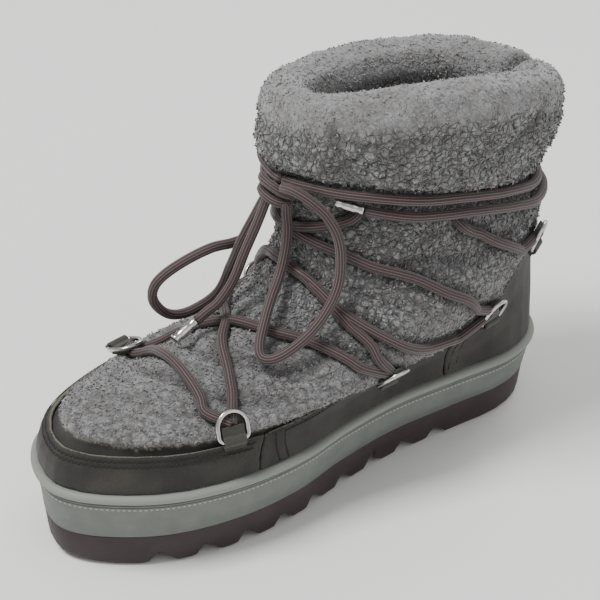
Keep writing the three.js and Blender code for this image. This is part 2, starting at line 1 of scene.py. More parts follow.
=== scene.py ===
"""Looks of a sheepskin boot: curly fleece over a nubuck foxing, D-rings, a round lace and a platform sole.

Sizes are in millimetres in the dataclasses and in metres in every mesh. The toe points along -Y, the inner
(medial) side of the foot is +X, and the sole stands on z = 0.
"""

import logging
import math
import random
from dataclasses import dataclass, field
from enum import Enum

import bmesh
import bpy
import numpy as np
from bmesh.types import BMEdge, BMesh, BMVert
from bpy.types import ID, Material, Mesh, Node, NodeSocket, NodeTree, Object
from mathutils import Matrix, Vector, noise
from mathutils.geometry import interpolate_bezier
from mathutils.kdtree import KDTree


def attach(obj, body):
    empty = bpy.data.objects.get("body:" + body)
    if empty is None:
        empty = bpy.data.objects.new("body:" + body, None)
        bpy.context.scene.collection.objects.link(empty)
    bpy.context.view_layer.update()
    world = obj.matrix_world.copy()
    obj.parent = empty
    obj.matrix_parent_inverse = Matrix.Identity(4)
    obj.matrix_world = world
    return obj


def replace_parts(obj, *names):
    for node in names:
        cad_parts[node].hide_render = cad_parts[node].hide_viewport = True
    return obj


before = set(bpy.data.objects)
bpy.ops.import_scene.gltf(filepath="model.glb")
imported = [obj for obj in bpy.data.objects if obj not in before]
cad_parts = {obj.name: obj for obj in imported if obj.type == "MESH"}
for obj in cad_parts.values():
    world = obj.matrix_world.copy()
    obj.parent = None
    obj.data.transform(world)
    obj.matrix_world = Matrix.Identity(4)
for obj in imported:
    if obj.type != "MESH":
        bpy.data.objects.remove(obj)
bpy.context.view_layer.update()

MM = 0.001
LENGTH = 280.0  # of the sole
BALL_WIDTH = 108.0  # of the sole at its widest
SOLE_TOP = (41.5, 35.5)  # at the toe and at the heel
OUTSOLE_TOP = (17.0, 16.0)
LACE = 4.8  # across the round lace
WIRE = 2.2  # across a ring's wire
BAND_FACE = -2.45  # the bands' faces, from the fur's outside
SEED = 7  # of the curls' noise and of the locks

log = logging.getLogger("boot")


class Side(Enum):
    """The inner and the outer side of the foot."""

    MEDIAL = 1
    LATERAL = -1


class Slot(Enum):
    """The material slots' names."""

    FLEECE = "fleece"
    NUBUCK = "nubuck"
    MIDSOLE = "midsole"
    TREAD = "tread"
    CORD = "cord"
    NICKEL = "nickel"
    INSOLE = "insole"


# ---- The form --------------------------------------------------------------------------------
OUTLINE = {
    "at": (0.0, 0.05, 0.15, 0.27, 0.39, 0.5, 0.62, 0.75, 0.87, 0.95, 1.0),
    "medial": (0.05, 0.27, 0.425, 0.485, 0.466, 0.391, 0.337, 0.327, 0.318, 0.232, 0.0),
    "lateral": (-0.05, 0.26, 0.413, 0.503, 0.512, 0.472, 0.424, 0.384, 0.343, 0.24, 0.0),
}
EDGES = {
    "at": (0.0, 0.14, 0.23, 0.34, 0.45, 0.54, 0.64, 0.7, 0.77, 0.81, 0.88, 1.0),
    "leather": (2.0, 2.1, 2.05, 1.95, 2.0, 2.2, 2.0, 2.05, 2.8, 3.8, 5.9, 7.8),
    "fur": (2.75, 2.9, 2.9, 2.4, 2.3, 2.45, 2.2, 2.2, 2.95, 3.95, 6.05, 7.95),
}
SECTIONS = {
    "front_y": (-140, -138.5, -133, -126, -115, -98, -76, -52, -28, -8.5, -4.5, -6, -13, -17, -15.5),
    "front_z": (41.8, 51, 60, 66, 71, 74.5, 77.5, 81.5, 89.5, 107, 128, 147, 157, 169, 183.5),
    "back_y": (140, 140, 139.5, 139, 138, 137, 136, 134.5, 132.5, 130, 128.5, 129, 135, 140, 140),
    "back_z": (35.8, 46, 56, 66, 76, 86, 95, 103, 110, 117, 124, 131, 139, 152, 165),
    "medial": (52.4, 51.5, 51, 51, 51, 51, 51.5, 51.5, 50.5, 49, 46, 46.5, 52, 55.3, 55.3),
    "lateral": (55.3, 54, 53.5, 53.5, 53.5, 53, 53, 52.5, 50.5, 48, 46, 46.5, 52, 54, 53.5),
    "foot": (1, 1, 0.65, 0.3, 0.1, 0, 0, 0, 0, 0, 0, 0, 0, 0, 0),
    "sag_m": (0, 0, 2, 7, 12, 17, 17, 13, 9, 4, 1, 0, 0, 0, -2),
    "sag_l": (0, 0, 3, 11, 21, 28, 29, 25, 17, 6, 2, 0, 2, 6, 9),
    "rise": (0, 0, 0, 0, 0, 0, 0, 0, 0, 0, 0, 0, 4, 9, 12),
    "ridge": (0, 0, 1, 3, 6, 7, 7, 7, 6, 3, 1, 0, 0, 0, 0),
}
TOP = len(SECTIONS["rise"]) - 1  # the collar's section number
DIP = 1.5  # what the sag columns are multiplied by
STEP = 0.01  # the small angle or share of a section over which a slope is measured
GAP = 0.3  # between the layers of the sole


def angle_at(at: float) -> float:
    """The angle round the foot at a share of its length from the toe."""
    return math.acos(1 - 2 * at)


def mix(a: float, b: float, t: float) -> float:
    """The value a share t of the way from a to b."""
    return a + (b - a) * t


def smooth(t: float) -> float:
    """A share eased at both ends."""
    t = min(1.0, max(0.0, t))
    return t * t * (3 - 2 * t)


def column(keys: list[float], values: list[float], key: float) -> float:
    """A table's column as a smooth function through every row.

    Args:
        keys: the rows' keys, rising.
        values: the column's values.
        key: where it is read.

    Returns:
        The value there.
    """
    i = 0
    while i < len(keys) - 2 and key > keys[i + 1]:
        i += 1
    span = keys[i + 1] - keys[i]
    t = min(1.0, max(0.0, (key - keys[i]) / span))

    def slope(k: int) -> float:
        """The table's slope at a row."""
        a, b = max(k - 1, 0), min(k + 1, len(keys) - 1)
        return (values[b] - values[a]) / (keys[b] - keys[a])

    bend = slope(i) * t * (1 - t) ** 2 - slope(i + 1) * t * t * (1 - t)
    return mix(values[i], values[i + 1], smooth(t)) + span * bend


@dataclass
class Form:
    """The boot's outside, as a function of the angle round the foot and a section number."""

    outline_keys: list[float] = field(default_factory=lambda: [angle_at(a) for a in OUTLINE["at"]])
    edge_keys: list[float] = field(default_factory=lambda: [angle_at(a) for a in EDGES["at"]])
    section_keys: list[float] = field(default_factory=lambda: list(range(TOP + 1)))

    def wrapped(self, angle: float) -> float:
        """The same angle between -180 and 180 degrees."""
        return (angle + math.pi) % (2 * math.pi) - math.pi

    def half_width(self, angle: float) -> float:
        """Half the sole's width at an angle."""
        side = "lateral" if angle < 0 else "medial"
        return BALL_WIDTH * column(self.outline_keys, OUTLINE[side], abs(angle))

    def footprint(self, angle: float, inset: float) -> Vector:
        """The sole's outline.

        Args:
            angle: round the foot.
            inset: how far the outline is moved inwards.

        Returns:
            The point in millimetres, seen from above.
        """

        def at(a: float) -> Vector:
            """A point of the outline."""
            sign = -1 if a < 0 else 1
            return Vector((sign * self.half_width(a), -math.cos(a) * LENGTH / 2))

        along = (at(self.wrapped(angle + STEP)) - at(self.wrapped(angle - STEP))).normalized()
        return at(self.wrapped(angle)) + Vector((-along.y, along.x)) * inset

    def sole_top(self, y: float) -> float:
        """The height of the midsole's upper face."""
        return mix(*SOLE_TOP, (y + LENGTH / 2) / LENGTH)

    def outsole_top(self, y: float) -> float:
        """The height of the line between outsole and midsole."""
        return mix(*OUTSOLE_TOP, (y + LENGTH / 2) / LENGTH)

    def edge(self, angle: float, name: str) -> float:
        """The section number of the cut edge ("leather") or of the line where the fur begins ("fur")."""
        return column(self.edge_keys, EDGES[name], abs(self.wrapped(angle)))

    def point(self, turn: float, level: float) -> Vector:
        """A point of the form.

        Args:
            turn: the angle round the foot.
            level: the section number.

        Returns:
            The point in millimetres.
        """
        angle = self.wrapped(turn)
        s = abs(math.sin(angle))
        reach = (1 - math.cos(angle)) / 2
        row = {name: column(self.section_keys, SECTIONS[name], level) for name in SECTIONS}
        medial = angle >= 0
        wide = row["medial"] if medial else row["lateral"]
        ball = BALL_WIDTH * max(OUTLINE["medial" if medial else "lateral"])
        x = mix(wide * s, self.half_width(angle) * wide / ball, row["foot"])
        sag = row["sag_m"] if medial else row["sag_l"]
        rise = row["rise"] * s * s if medial else 0.0
        dip = DIP * sag * (s * (1 - reach)) ** 2
        return Vector(
            (
                (1 if medial else -1) * x + row["ridge"] * (1 - reach) ** 2,
                mix(row["front_y"], row["back_y"], reach),
                mix(row["front_z"], row["back_z"], reach) + rise - dip,
            )
        )

    def normal(self, angle: float, level: float) -> Vector:
        """The form's outward normal.

        Args:
            angle: round the foot.
            level: the section number.

        Returns:
            The normal, one long.
        """
        low, high = max(level - 2 * STEP, 0), min(level + 2 * STEP, TOP)
        across = self.point(angle + 2 * STEP, level) - self.point(angle - 2 * STEP, level)
        upwards = self.point(angle, high) - self.point(angle, low)
        return across.cross(upwards).normalized()

    def offset(self, angle: float, level: float, distance: float) -> Vector:
        """The form moved along its normal, but never into the sole.

        Args:
            angle: round the foot.
            level: the section number.
            distance: how far out it is moved, in millimetres.

        Returns:
            The point in millimetres.
        """
        p = self.point(angle, level) + self.normal(angle, level) * distance
        p.z = max(p.z, self.sole_top(p.y) + GAP)
        return p


def indexed(points: list | np.ndarray) -> KDTree:
    """A search tree of points.

    Args:
        points: in millimetres.

    Returns:
        The tree, which gives each point's number in the list.
    """
    tree = KDTree(len(points))
    for i, p in enumerate(points):
        tree.insert(p, i)
    tree.balance()
    return tree


class Surface:
    """A close grid of the form's points, to find the angle, section and height of any point."""

    def __init__(self, form: Form, around: int = 220, up: int = 110) -> None:
        """Samples the form.

        Args:
            form: the boot's form.
            around: samples round the foot.
            up: samples from the sole to the collar.
        """
        angles = [(i + 0.5) / around * 2 * math.pi - math.pi for i in range(around)]
        levels = [TOP * i / up for i in range(up + 1)]
        points = np.array([[form.point(a, k) for k in levels] for a in angles])
        across = np.roll(points, -1, 0) - np.roll(points, 1, 0)
        upwards = np.gradient(points, axis=1)
        out = np.cross(across, upwards)
        out /= np.linalg.norm(out, axis=2)[:, :, None]
        self.keys = [(a, k) for a in angles for k in levels]
        self.points = points.reshape(-1, 3)
        self.out = out.reshape(-1, 3)
        self.tree = indexed(self.points)

    def find(self, p: Vector) -> tuple[float, float, float, Vector]:
        """Where a point in millimetres lies.

        Args:
            p: the point.

        Returns:
            Its angle, its section number, its height over the form and the form's normal there.
        """
        _, i, _ = self.tree.find(p)
        out = Vector(self.out[i])
        height = (Vector(p) - Vector(self.points[i])).dot(out)
        return (*self.keys[i], height, out)

    def drawn(self, p: Vector, height: float) -> Vector:
        """A point moved in or out until it stands at a height over the fur.

        Args:
            p: the point in millimetres.
            height: over the fur.

        Returns:
            The moved point.
        """
        moved = Vector(p)
        for _ in range(3):
            _, _, now, out = self.find(moved)
            moved += out * (height - now)
        return moved


# ---- Finishes --------------------------------------------------------------------------------
WHITE = "#ffffff"


def linear(code: str) -> tuple[float, float, float, float]:
    """A colour from an sRGB hex value, made linear.

    Args:
        code: the hex value, after its number sign.

    Returns:
        Red, green, blue and an alpha of 1.
    """
    values = [int(code[i : i + 2], 16) / 255 for i in (1, 3, 5)]
    made = [v / 12.92 if v <= 0.04045 else ((v + 0.055) / 1.055) ** 2.4 for v in values]
    return (*made, 1.0)


def add_node(tree: NodeTree, kind: str, inputs: dict | None = None, **settings: object) -> Node:
    """Adds a node with its settings, its inputs' values and its links.

    Args:
        tree: the material's node tree.
        kind: the node's type without its ShaderNode prefix.
        inputs: a value or an output socket for each input, by name or number.
        settings: the node's own properties.

    Returns:
        The node.
    """
    node = tree.nodes.new("ShaderNode" + kind)
    for name, value in settings.items():
        setattr(node, name, value)
    for name, value in (inputs or {}).items():
        if isinstance(value, NodeSocket):
            tree.links.new(value, node.inputs[name])
        else:
            node.inputs[name].default_value = value
    return node


@dataclass(frozen=True)
class Finish:
    """A finish: its shader's constants, and the name of the real material."""

    name: str
    roughness: float
    metallic: float = 0.0
    sheen: float = 0.0
    sheen_roughness: float = 0.6

    def made(self) -> Material:
        """Builds the material.

        Returns:
            The material, with its colour and its bump.
        """
        material = bpy.data.materials.new(self.name)
        material.use_nodes = True
        tree = material.node_tree
        shader = tree.nodes["Principled BSDF"]
        shader.inputs["Roughness"].default_value = self.roughness
        shader.inputs["Metallic"].default_value = self.metallic
        shader.inputs["Sheen Weight"].default_value = self.sheen
        shader.inputs["Sheen Roughness"].default_value = self.sheen_roughness
        colour, height, depth = self.surface(tree)
        tree.links.new(colour, shader.inputs["Base Color"])
        bump = add_node(tree, "Bump", {"Height": height, "Distance": depth * MM, "Strength": 1.0})
        tree.links.new(bump.outputs["Normal"], shader.inputs["Normal"])
        return material

    def surface(self, tree: NodeTree) -> tuple[NodeSocket, NodeSocket, float]:
        """The colour, the grain's height, and how many millimetres deep that height is."""
        raise NotImplementedError

    def mottle(self, tree: NodeTree, size: float, detail: float) -> NodeSocket:
        """A noise pattern.

        Args:
            tree: the material's node tree.
            size: of its patches, in millimetres.
            detail: how many finer noises lie on it.

        Returns:
            The noise, around a half.
        """
        place = add_node(tree, "TexCoord").outputs["Object"]
        grain = add_node(tree, "TexNoise", {"Vector": place, "Scale": 1 / (size * MM), "Detail": detail})
        return grain.outputs["Fac"]

    def ramp(self, tree: NodeTree, value: NodeSocket, low: float, high: float) -> NodeSocket:
        """A value stretched from low..high to 0..1 and clamped."""
        inputs = {"Value": value, "From Min": low, "From Max": high}
        return add_node(tree, "MapRange", inputs).outputs["Result"]

    def clouds(
        self, tree: NodeTree, size: float, detail: float, low: float = 0.35, high: float = 0.7
    ) -> NodeSocket:
        """A noise pattern stretched until its patches stand out."""
        return self.ramp(tree, self.mottle(tree, size, detail), low, high)

    def painted(self, tree: NodeTree, name: str) -> NodeSocket:
        """A number painted on the mesh."""
        return add_node(tree, "Attribute", attribute_name=name).outputs["Fac"]

    def maths(self, tree: NodeTree, operation: str, *inputs: object) -> NodeSocket:
        """The result of an operation on numbers and sockets."""
        return add_node(tree, "Math", dict(enumerate(inputs)), operation=operation).outputs[0]

    def blend(self, tree: NodeTree, share: NodeSocket, a: object, b: object) -> NodeSocket:
        """Two colours, each a hex value or a socket, mixed by a share."""
        first, second = (linear(c) if isinstance(c, str) else c for c in (a, b))
        return add_node(tree, "Mix", {0: share, 6: first, 7: second}, data_type="RGBA").outputs[2]

    def dimmed(self, tree: NodeTree, colour: NodeSocket, share: NodeSocket, dark: str) -> NodeSocket:
        """A colour multiplied by a dark one where the share is 0 and left alone where it is 1."""
        inputs = {0: 1.0, 6: colour, 7: self.blend(tree, share, dark, WHITE)}
        return add_node(tree, "Mix", inputs, data_type="RGBA", blend_type="MULTIPLY").outputs[2]


@dataclass(frozen=True)
class Shearling(Finish):
    """Curly lamb's wool on the hide: matt, pale at the curls' crowns, with painted shade in the gaps and
    clefts between them.
    """

    crown: str = "#aaa9a9"
    middle: str = "#838282"
    # painted shade: the colour in the gaps between the curls
    shaded_gap: str = "#3f3d3d"
    # painted shade in the clefts between clumps of curls
    shaded_cleft: str = "#4e4c4c"
    shade: str = "#c9c9c9"  # between the fibres
    aged: str = "#e2e0de"
    fibre: float = 1.1
    patch: float = 14.0
    clump: float = 3.3  # across one clump of curls
    bend: float = 3.2  # how far the clefts wander
    wave: float = 5.0  # the length over which they do

    def surface(self, tree: NodeTree) -> tuple[NodeSocket, NodeSocket, float]:
        """The wool's colour, height and depth.

        Args:
            tree: the material's node tree.

        Returns:
            Its colour from the mesh's "crown", 0 in the gaps and 1 on the crowns, with painted shade in the
            gaps and in the clefts; its fibres' height, with clefts where the mesh is "parted"; and their
            depth.
        """
        crown = self.painted(tree, "crown")
        fibres = self.mottle(tree, self.fibre, 4.0)
        shut = self.maths(tree, "SUBTRACT", 1.0, self.clefts(tree))
        shaded_cleft = self.maths(tree, "MULTIPLY", shut, self.painted(tree, "parted"))
        # painted shade: from the crowns' pale to the gaps' dark by the crown value
        low = self.blend(tree, self.ramp(tree, crown, 0.0, 0.5), self.shaded_gap, self.middle)
        high = self.blend(tree, self.ramp(tree, crown, 0.45, 1.0), low, self.crown)
        # painted shade: darker in the clefts
        curls = self.blend(tree, shaded_cleft, high, self.shaded_cleft)
        shaded = self.dimmed(tree, curls, self.ramp(tree, fibres, 0.3, 0.7), self.shade)
        colour = self.dimmed(tree, shaded, self.clouds(tree, self.patch, 2.0, 0.35, 0.68), self.aged)
        return colour, self.maths(tree, "MULTIPLY_ADD", shaded_cleft, -2.2, fibres), 0.5

    def clefts(self, tree: NodeTree) -> NodeSocket:
        """The clefts between clumps of curls.

        Args:
            tree: the material's node tree.

        Returns:
            0 in the narrow clefts and 1 on the clumps.
        """
        place = add_node(tree, "TexCoord").outputs["Object"]
        warp = add_node(tree, "TexNoise", {"Vector": place, "Scale": 1 / (self.wave * MM), "Detail": 2.0})
        inputs = {0: warp.outputs["Color"], 1: (self.bend * MM,) * 3, 2: place}
        bent = add_node(tree, "VectorMath", inputs, operation="MULTIPLY_ADD").outputs[0]
        inputs = {"Vector": bent, "Scale": 1 / (self.clump * MM)}
        cells = add_node(tree, "TexVoronoi", inputs, feature="DISTANCE_TO_EDGE").outputs["Distance"]
        return self.ramp(tree, cells, 0.02, 0.16)


@dataclass(frozen=True)
class Nubuck(Finish):
    """Buffed calf leather: a fine matt nap with cloudy rubbed patches, and a pale raw cut edge."""

    base: str = "#201e1b"
    rubbed: str = "#3b3730"
    cut: str = "#6f6a5d"
    shade: str = "#cfcfcf"  # in the nap
    nap: float = 0.7
    patch: float = 22.0

    def surface(self, tree: NodeTree) -> tuple[NodeSocket, NodeSocket, float]:
        """The leather's colour, height and depth.

        Args:
            tree: the material's node tree.

        Returns:
            Its colour, pale where the mesh's "cut" is 1; its nap's height; and the nap's depth.
        """
        nap = self.mottle(tree, self.nap, 3.0)
        clouds = self.clouds(tree, self.patch, 5.0, 0.42, 0.72)
        colour = self.blend(tree, clouds, self.base, self.rubbed)
        # painted shade: darker where the nap's height is low
        shaded_nap = self.dimmed(tree, colour, self.ramp(tree, nap, 0.3, 0.7), self.shade)
        return self.blend(tree, self.painted(tree, "cut"), shaded_nap, self.cut), nap, 0.25


@dataclass(frozen=True)
class Foam(Finish):
    """Moulded EVA foam: satin and slightly cloudy, with a painted highlight on its top bead, a fine pricked
    line and painted shade in two grooves.
    """

    base: str = "#646964"
    lit: str = "#6d726c"
    # painted highlight on the rounded bead at the top
    bead: str = "#83867f"
    mark: str = "#9fa29a"
    # painted shade in the grooves
    shaded_groove: str = "#3e423e"
    patch: float = 9.0
    grain: float = 0.9
    grooves: tuple = ((4.7, 0.3), (6.3, 0.2))  # each one's drop below the top, and half its height
    pricks: tuple[float, float] = (7.7, 0.32)  # the same for the pricked line
    prick_pitch: float = 2.4
    prick_share: float = 0.55

    def surface(self, tree: NodeTree) -> tuple[NodeSocket, NodeSocket, float]:
        """The foam's colour, height and depth.

        Args:
            tree: the material's node tree.

        Returns:
            Its colour from the mesh's "drop", in millimetres below the top, and "along", in millimetres
            round the sole; its grain's height; and the grain's depth.
        """
        drop = self.painted(tree, "drop")
        band = self.blend(tree, self.clouds(tree, self.patch, 4.0), self.base, self.lit)
        # painted highlight: paler within about 4 mm of the top, on the bead
        colour = self.blend(tree, self.ramp(tree, drop, 4.4, 3.4), band, self.bead)
        # painted shade in each groove
        for at, half in self.grooves:
            colour = self.blend(tree, self.maths(tree, "COMPARE", drop, at, half), colour, self.shaded_groove)
        step = self.maths(tree, "DIVIDE", self.painted(tree, "along"), self.prick_pitch)
        dash = self.maths(tree, "LESS_THAN", self.maths(tree, "FRACT", step), self.prick_share)
        pricked = self.maths(tree, "MULTIPLY", dash, self.maths(tree, "COMPARE", drop, *self.pricks))
        return self.blend(tree, pricked, colour, self.mark), self.mottle(tree, self.grain, 2.0), 0.06


@dataclass(frozen=True)
class Plain(Finish):
    """A finish of two cloudy colours with a fine grain: rubber, plated wire, sewing thread or paper."""

    base: str = "#271a1b"
    second: str = "#322425"
    patch: float = 16.0
    grain: float = 0.8
    depth: float = 0.08

    def surface(self, tree: NodeTree) -> tuple[NodeSocket, NodeSocket, float]:
        """The colour, the grain's height and its depth."""
        colour = self.blend(tree, self.clouds(tree, self.patch, 4.0), self.base, self.second)
        return colour, self.mottle(tree, self.grain, 3.0), self.depth


@dataclass(frozen=True)
class Braid(Finish):
    """Round braided polyester: carriers crossing both ways, with pale tracer threads along it."""

    base: str = "#301f20"
    # painted shade between the carriers
    dark: str = "#261819"
    tracer: str = "#7d6965"
    tracers: float = 11.0  # round the cord
    carriers: float = 5.0  # round the cord, each way
    pitch: float = 3.4  # of one crossing, drawn coarser than the real 1.8 so that it shows

    def surface(self, tree: NodeTree) -> tuple[NodeSocket, NodeSocket, float]:
        """The braid's colour, height and depth.

        Args:
            tree: the material's node tree.

        Returns:
            Its colour from the mesh's "wrap", which holds the cosine and sine round the cord and the run
            along it in millimetres; its weave's height; and the weave's depth.
        """
        wrap = add_node(tree, "Attribute", attribute_name="wrap").outputs["Vector"]
        cosine, sine, run = add_node(tree, "SeparateXYZ", {0: wrap}).outputs
        turn = self.maths(tree, "ARCTAN2", sine, cosine)
        winding = self.maths(tree, "MULTIPLY", turn, self.carriers)
        rising = self.maths(tree, "MULTIPLY", run, 2 * math.pi / self.pitch)
        ways = [self.maths(tree, way, winding, rising) for way in ("ADD", "SUBTRACT")]
        weave = self.maths(tree, "MULTIPLY", *[self.maths(tree, "SINE", way) for way in ways])
        # painted shade: darker where the weave's height is low
        colour = self.blend(tree, self.ramp(tree, weave, -0.6, 0.8), self.dark, self.base)
        wave = self.maths(tree, "COSINE", self.maths(tree, "MULTIPLY", turn, self.tracers))
        return self.blend(tree, self.ramp(tree, wave, 0.45, 1.25), colour, self.tracer), weave, 0.05


SHEARLING = Shearling("lambs_wool_shearling", 0.95, sheen=0.35)
# the locks' colours; the darkest is painted shade at their roots and in the gaps
LOCKS = Shearling("lambs_wool_curls", 0.9, sheen=0.3, crown="#b2b1b1", middle="#8f8e8e", shaded_gap="#6a6868")
NUBUCK = Nubuck("buffed_nubuck", 0.82, sheen=0.1)
LINING = Nubuck("nubuck_ring_tab", 0.85, sheen=0.1, base="#393831", rubbed="#46453c", cut="#46453c")
EVA = Foam("moulded_eva_foam", 0.62)
RUBBER = Plain("moulded_brown_rubber", 0.58)
THREAD = Plain("waxed_sewing_thread", 0.7, base="#16150f", second="#22201a", patch=3.0, grain=0.4)
ROUND_LACE = Braid("braided_polyester_lace", 0.72, sheen=0.15)
NICKEL = Plain(
    "polished_nickel_plate", 0.22, metallic=1.0, base="#c9c8c6", second="#b4b3b2", patch=6.0, depth=0.01
)


# ---- Meshes ----------------------------------------------------------------------------------
def linked(name: str, data: ID) -> Object:
    """A new object in the scene.

    Args:
        name: its name.
        data: its mesh, curve, camera or lamp.

    Returns:
        The object.
    """
    made = bpy.data.objects.new(name, data)
    bpy.context.scene.collection.objects.link(made)
    return made


def evaluated(shape: Object) -> BMesh:
    """The mesh that an object's modifiers or bevel make.

    Args:
        shape: the object, which is removed.

    Returns:
        The mesh.
    """
    graph = bpy.context.evaluated_depsgraph_get()
    bm = bmesh.new()
    bm.from_mesh(shape.evaluated_get(graph).to_mesh())
    bpy.data.objects.remove(shape)
    return bm


def sharp_edges(bm: BMesh, least: float) -> list[BMEdge]:
    """The edges where two faces meet at more than an angle."""
    return [e for e in bm.edges if len(e.link_faces) == 2 and e.calc_face_angle() > least]


def bevelled(bm: BMesh, edges: list[BMEdge], width: float, segments: int) -> None:
    """Rounds edges over a width in millimetres."""
    size = {"offset": width * MM, "segments": segments, "profile": 0.5}
    bmesh.ops.bevel(bm, geom=edges, affect="EDGES", material=-1, **size)


def grown(bm: BMesh, edges: list[BMEdge]) -> tuple[list, list]:
    """Extrudes a loop of edges, ready to be moved.

    Args:
        bm: the mesh.
        edges: the loop.

    Returns:
        The new loop's edges and its vertices.
    """
    made = bmesh.ops.extrude_edge_only(bm, edges=edges)["geom"]
    vertices = [g for g in made if isinstance(g, BMVert)]
    return [g for g in made if isinstance(g, BMEdge)], vertices


def placed(bm: BMesh, name: str, material: Material) -> Object:
    """Makes a finished piece of a bmesh in metres, riding on the boot.

    Args:
        bm: the piece's mesh, which is freed.
        name: the piece's name.
        material: its finish.

    Returns:
        The piece.
    """
    mesh = bpy.data.meshes.new(name)
    bm.to_mesh(mesh)
    bm.free()
    return shown(mesh, name, material)


def shown(mesh: Mesh, name: str, material: Material) -> Object:
    """Makes a finished piece of a mesh, smooth shaded and riding on the boot.

    Args:
        mesh: the piece's mesh in metres.
        name: the piece's name.
        material: its finish.

    Returns:
        The piece.
    """
    mesh.polygons.foreach_set("use_smooth", [True] * len(mesh.polygons))
    mesh.materials.append(material)
    piece = linked(name, mesh)
    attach(piece, "root")
    log.info("%s: %d faces", name, len(mesh.polygons))
    return piece


def cad_copy(node: str) -> BMesh:
    """A copy of a CAD node's mesh.

    Args:
        node: the node's name.

    Returns:
        The copy, with its doubled vertices merged.
    """
    bm = bmesh.new()
    bm.from_mesh(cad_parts[node].data)
    bmesh.ops.remove_doubles(bm, verts=bm.verts, dist=1e-6)
    return bm


def remeshed(bm: BMesh, voxel: float) -> BMesh:
    """The same solid in even quads, with its facets smoothed away.

    Args:
        bm: a closed mesh, which is freed.
        voxel: the quads' size in millimetres.

    Returns:
        The new mesh.
    """
    mesh = bpy.data.meshes.new("even")
    bm.to_mesh(mesh)
    bm.free()
    shape = linked("even", mesh)
    modifier = shape.modifiers.new("even", "REMESH")
    modifier.mode = "VOXEL"
    modifier.voxel_size = voxel * MM
    made = evaluated(shape)
    axes = {f"use_axis_{axis}": True for axis in "xyz"}
    for _ in range(4):
        bmesh.ops.smooth_vert(made, verts=made.verts, factor=0.5, **axes)
    made.normal_update()
    return made


def paint(bm: BMesh, name: str, values: list[float]) -> None:
    """Writes a value on each vertex as an attribute.

    Args:
        bm: the mesh.
        name: the attribute's name.
        values: one for each vertex.
    """
    layer = bm.verts.layers.float.new(name)
    for vertex, value in zip(bm.verts, values):
        vertex[layer] = value


def scattered(
    template: BMesh, places: list[Matrix], tones: list[float], parted: list[float]
) -> tuple[Mesh, int]:
    """Joins an array of copies of one small shape.

    Args:
        template: the shape, with a "crown" value on each vertex; it is freed.
        places: where each copy goes, in metres.
        tones: added to each copy's crown value.
        parted: each copy's parted value.

    Returns:
        The joined mesh and the number of copies.
    """
    layer = template.verts.layers.float["crown"]
    shape = np.array([[*v.co, 1.0] for v in template.verts])
    crown = np.array([v[layer] for v in template.verts])
    faces = np.array([[v.index for v in f.verts] for f in template.faces])
    template.free()
    matrices = np.array([[list(row) for row in place] for place in places])
    points = np.einsum("nij,vj->nvi", matrices, shape)[:, :, :3].reshape(-1, 3)
    shifted = faces[None] + (np.arange(len(places)) * len(shape))[:, None, None]
    mesh = bpy.data.meshes.new("scattered")
    mesh.from_pydata(points.tolist(), [], shifted.reshape(-1, faces.shape[1]).tolist())
    crowns = (crown[None] + np.array(tones)[:, None]).ravel()
    for name, values in (("crown", crowns), ("parted", np.repeat(parted, len(shape)))):
        attribute = mesh.attributes.new(name, "FLOAT", "POINT")
        attribute.data.foreach_set("value", values.astype(np.float32))
    return mesh, len(places)


# ---- Laces -----------------------------------------------------------------------------------
def runs(path: list[Vector]) -> list[float]:
    """How far along a path each of its points lies.

    Args:
        path: the points in millimetres.

    Returns:
        The length up to each point, from 0 to the whole length.
    """
    run = [0.0]
    for a, b in zip(path, path[1:]):
        run.append(run[-1] + (b - a).length)
    return run


def smooth_path(points: list[Vector], step: float) -> list[Vector]:
    """A smooth curve through the points, sampled evenly.

    Args:
        points: the points in millimetres.
        step: about how far apart the samples are.

    Returns:
        The samples, ends included.
    """
    ends = [points[0] * 2 - points[1], *points, points[-1] * 2 - points[-2]]
    fine = []
    for i in range(1, len(ends) - 2):
        before, a, b, after = ends[i - 1 : i + 3]
        reach = (b - a).length / 3
        lead = (b - before).normalized() * reach
        lag = (after - a).normalized() * reach
        fine.extend(interpolate_bezier(a, a + lead, b - lag, b, 16)[:-1])
    fine.append(points[-1])
    run = runs(fine)
    count = max(4, round(run[-1] / step))
    axes = [np.interp(np.linspace(0, run[-1], count + 1), run, [p[k] for p in fine]) for k in range(3)]
    return [Vector(p) for p in zip(*axes)]


def tube(path: list[Vector], radius: float, sides: int = 12, cyclic: bool = False) -> BMesh:
    """A round cord or wire along a path, with its ends closed.

    Args:
        path: points in millimetres.
        radius: of the cord, in millimetres.
        sides: of its section.
        cyclic: whether it closes on itself.

    Returns:
        The mesh in metres, with the "wrap" attribute that a braid reads.
    """
    curve = bpy.data.curves.new("path", "CURVE")
    curve.dimensions = "3D"
    curve.twist_mode = "MINIMUM"
    curve.bevel_depth = radius * MM
    curve.bevel_resolution = sides // 4 - 1
    curve.use_fill_caps = True
    line = curve.splines.new("POLY")
    line.points.add(len(path) - 1)
    for knot, p in zip(line.points, path):
        knot.co = (*(p * MM), 1.0)
    line.use_cyclic_u = cyclic
    bm = evaluated(linked("path", curve))
    run = runs(path)
    layer = bm.verts.layers.float_vector.new("wrap")
    bm.verts.ensure_lookup_table()
    ring = len(bm.verts) // len(path)
    for i, vertex in enumerate(bm.verts):
        turn = 2 * math.pi * (i % ring) / ring
        vertex[layer] = (math.cos(turn), math.sin(turn), run[min(i // ring, len(run) - 1)])
    bmesh.ops.remove_doubles(bm, verts=bm.verts, dist=1e-7)
    bmesh.ops.recalc_face_normals(bm, faces=bm.faces)
    return bm


def joined(parts: list[BMesh]) -> BMesh:
    """Several meshes as one.

    Args:
        parts: the meshes, which are freed.

    Returns:
        The whole.
    """
    whole = bmesh.new()
    for part in parts:
        mesh = bpy.data.meshes.new("part")
        part.to_mesh(mesh)
        part.free()
        whole.from_mesh(mesh)
        bpy.data.meshes.remove(mesh)
    return whole


def mirrored(points: list[tuple]) -> list[tuple]:
    """A route on the other side of the foot."""
    return [(-x, y, z) for x, y, z in points]


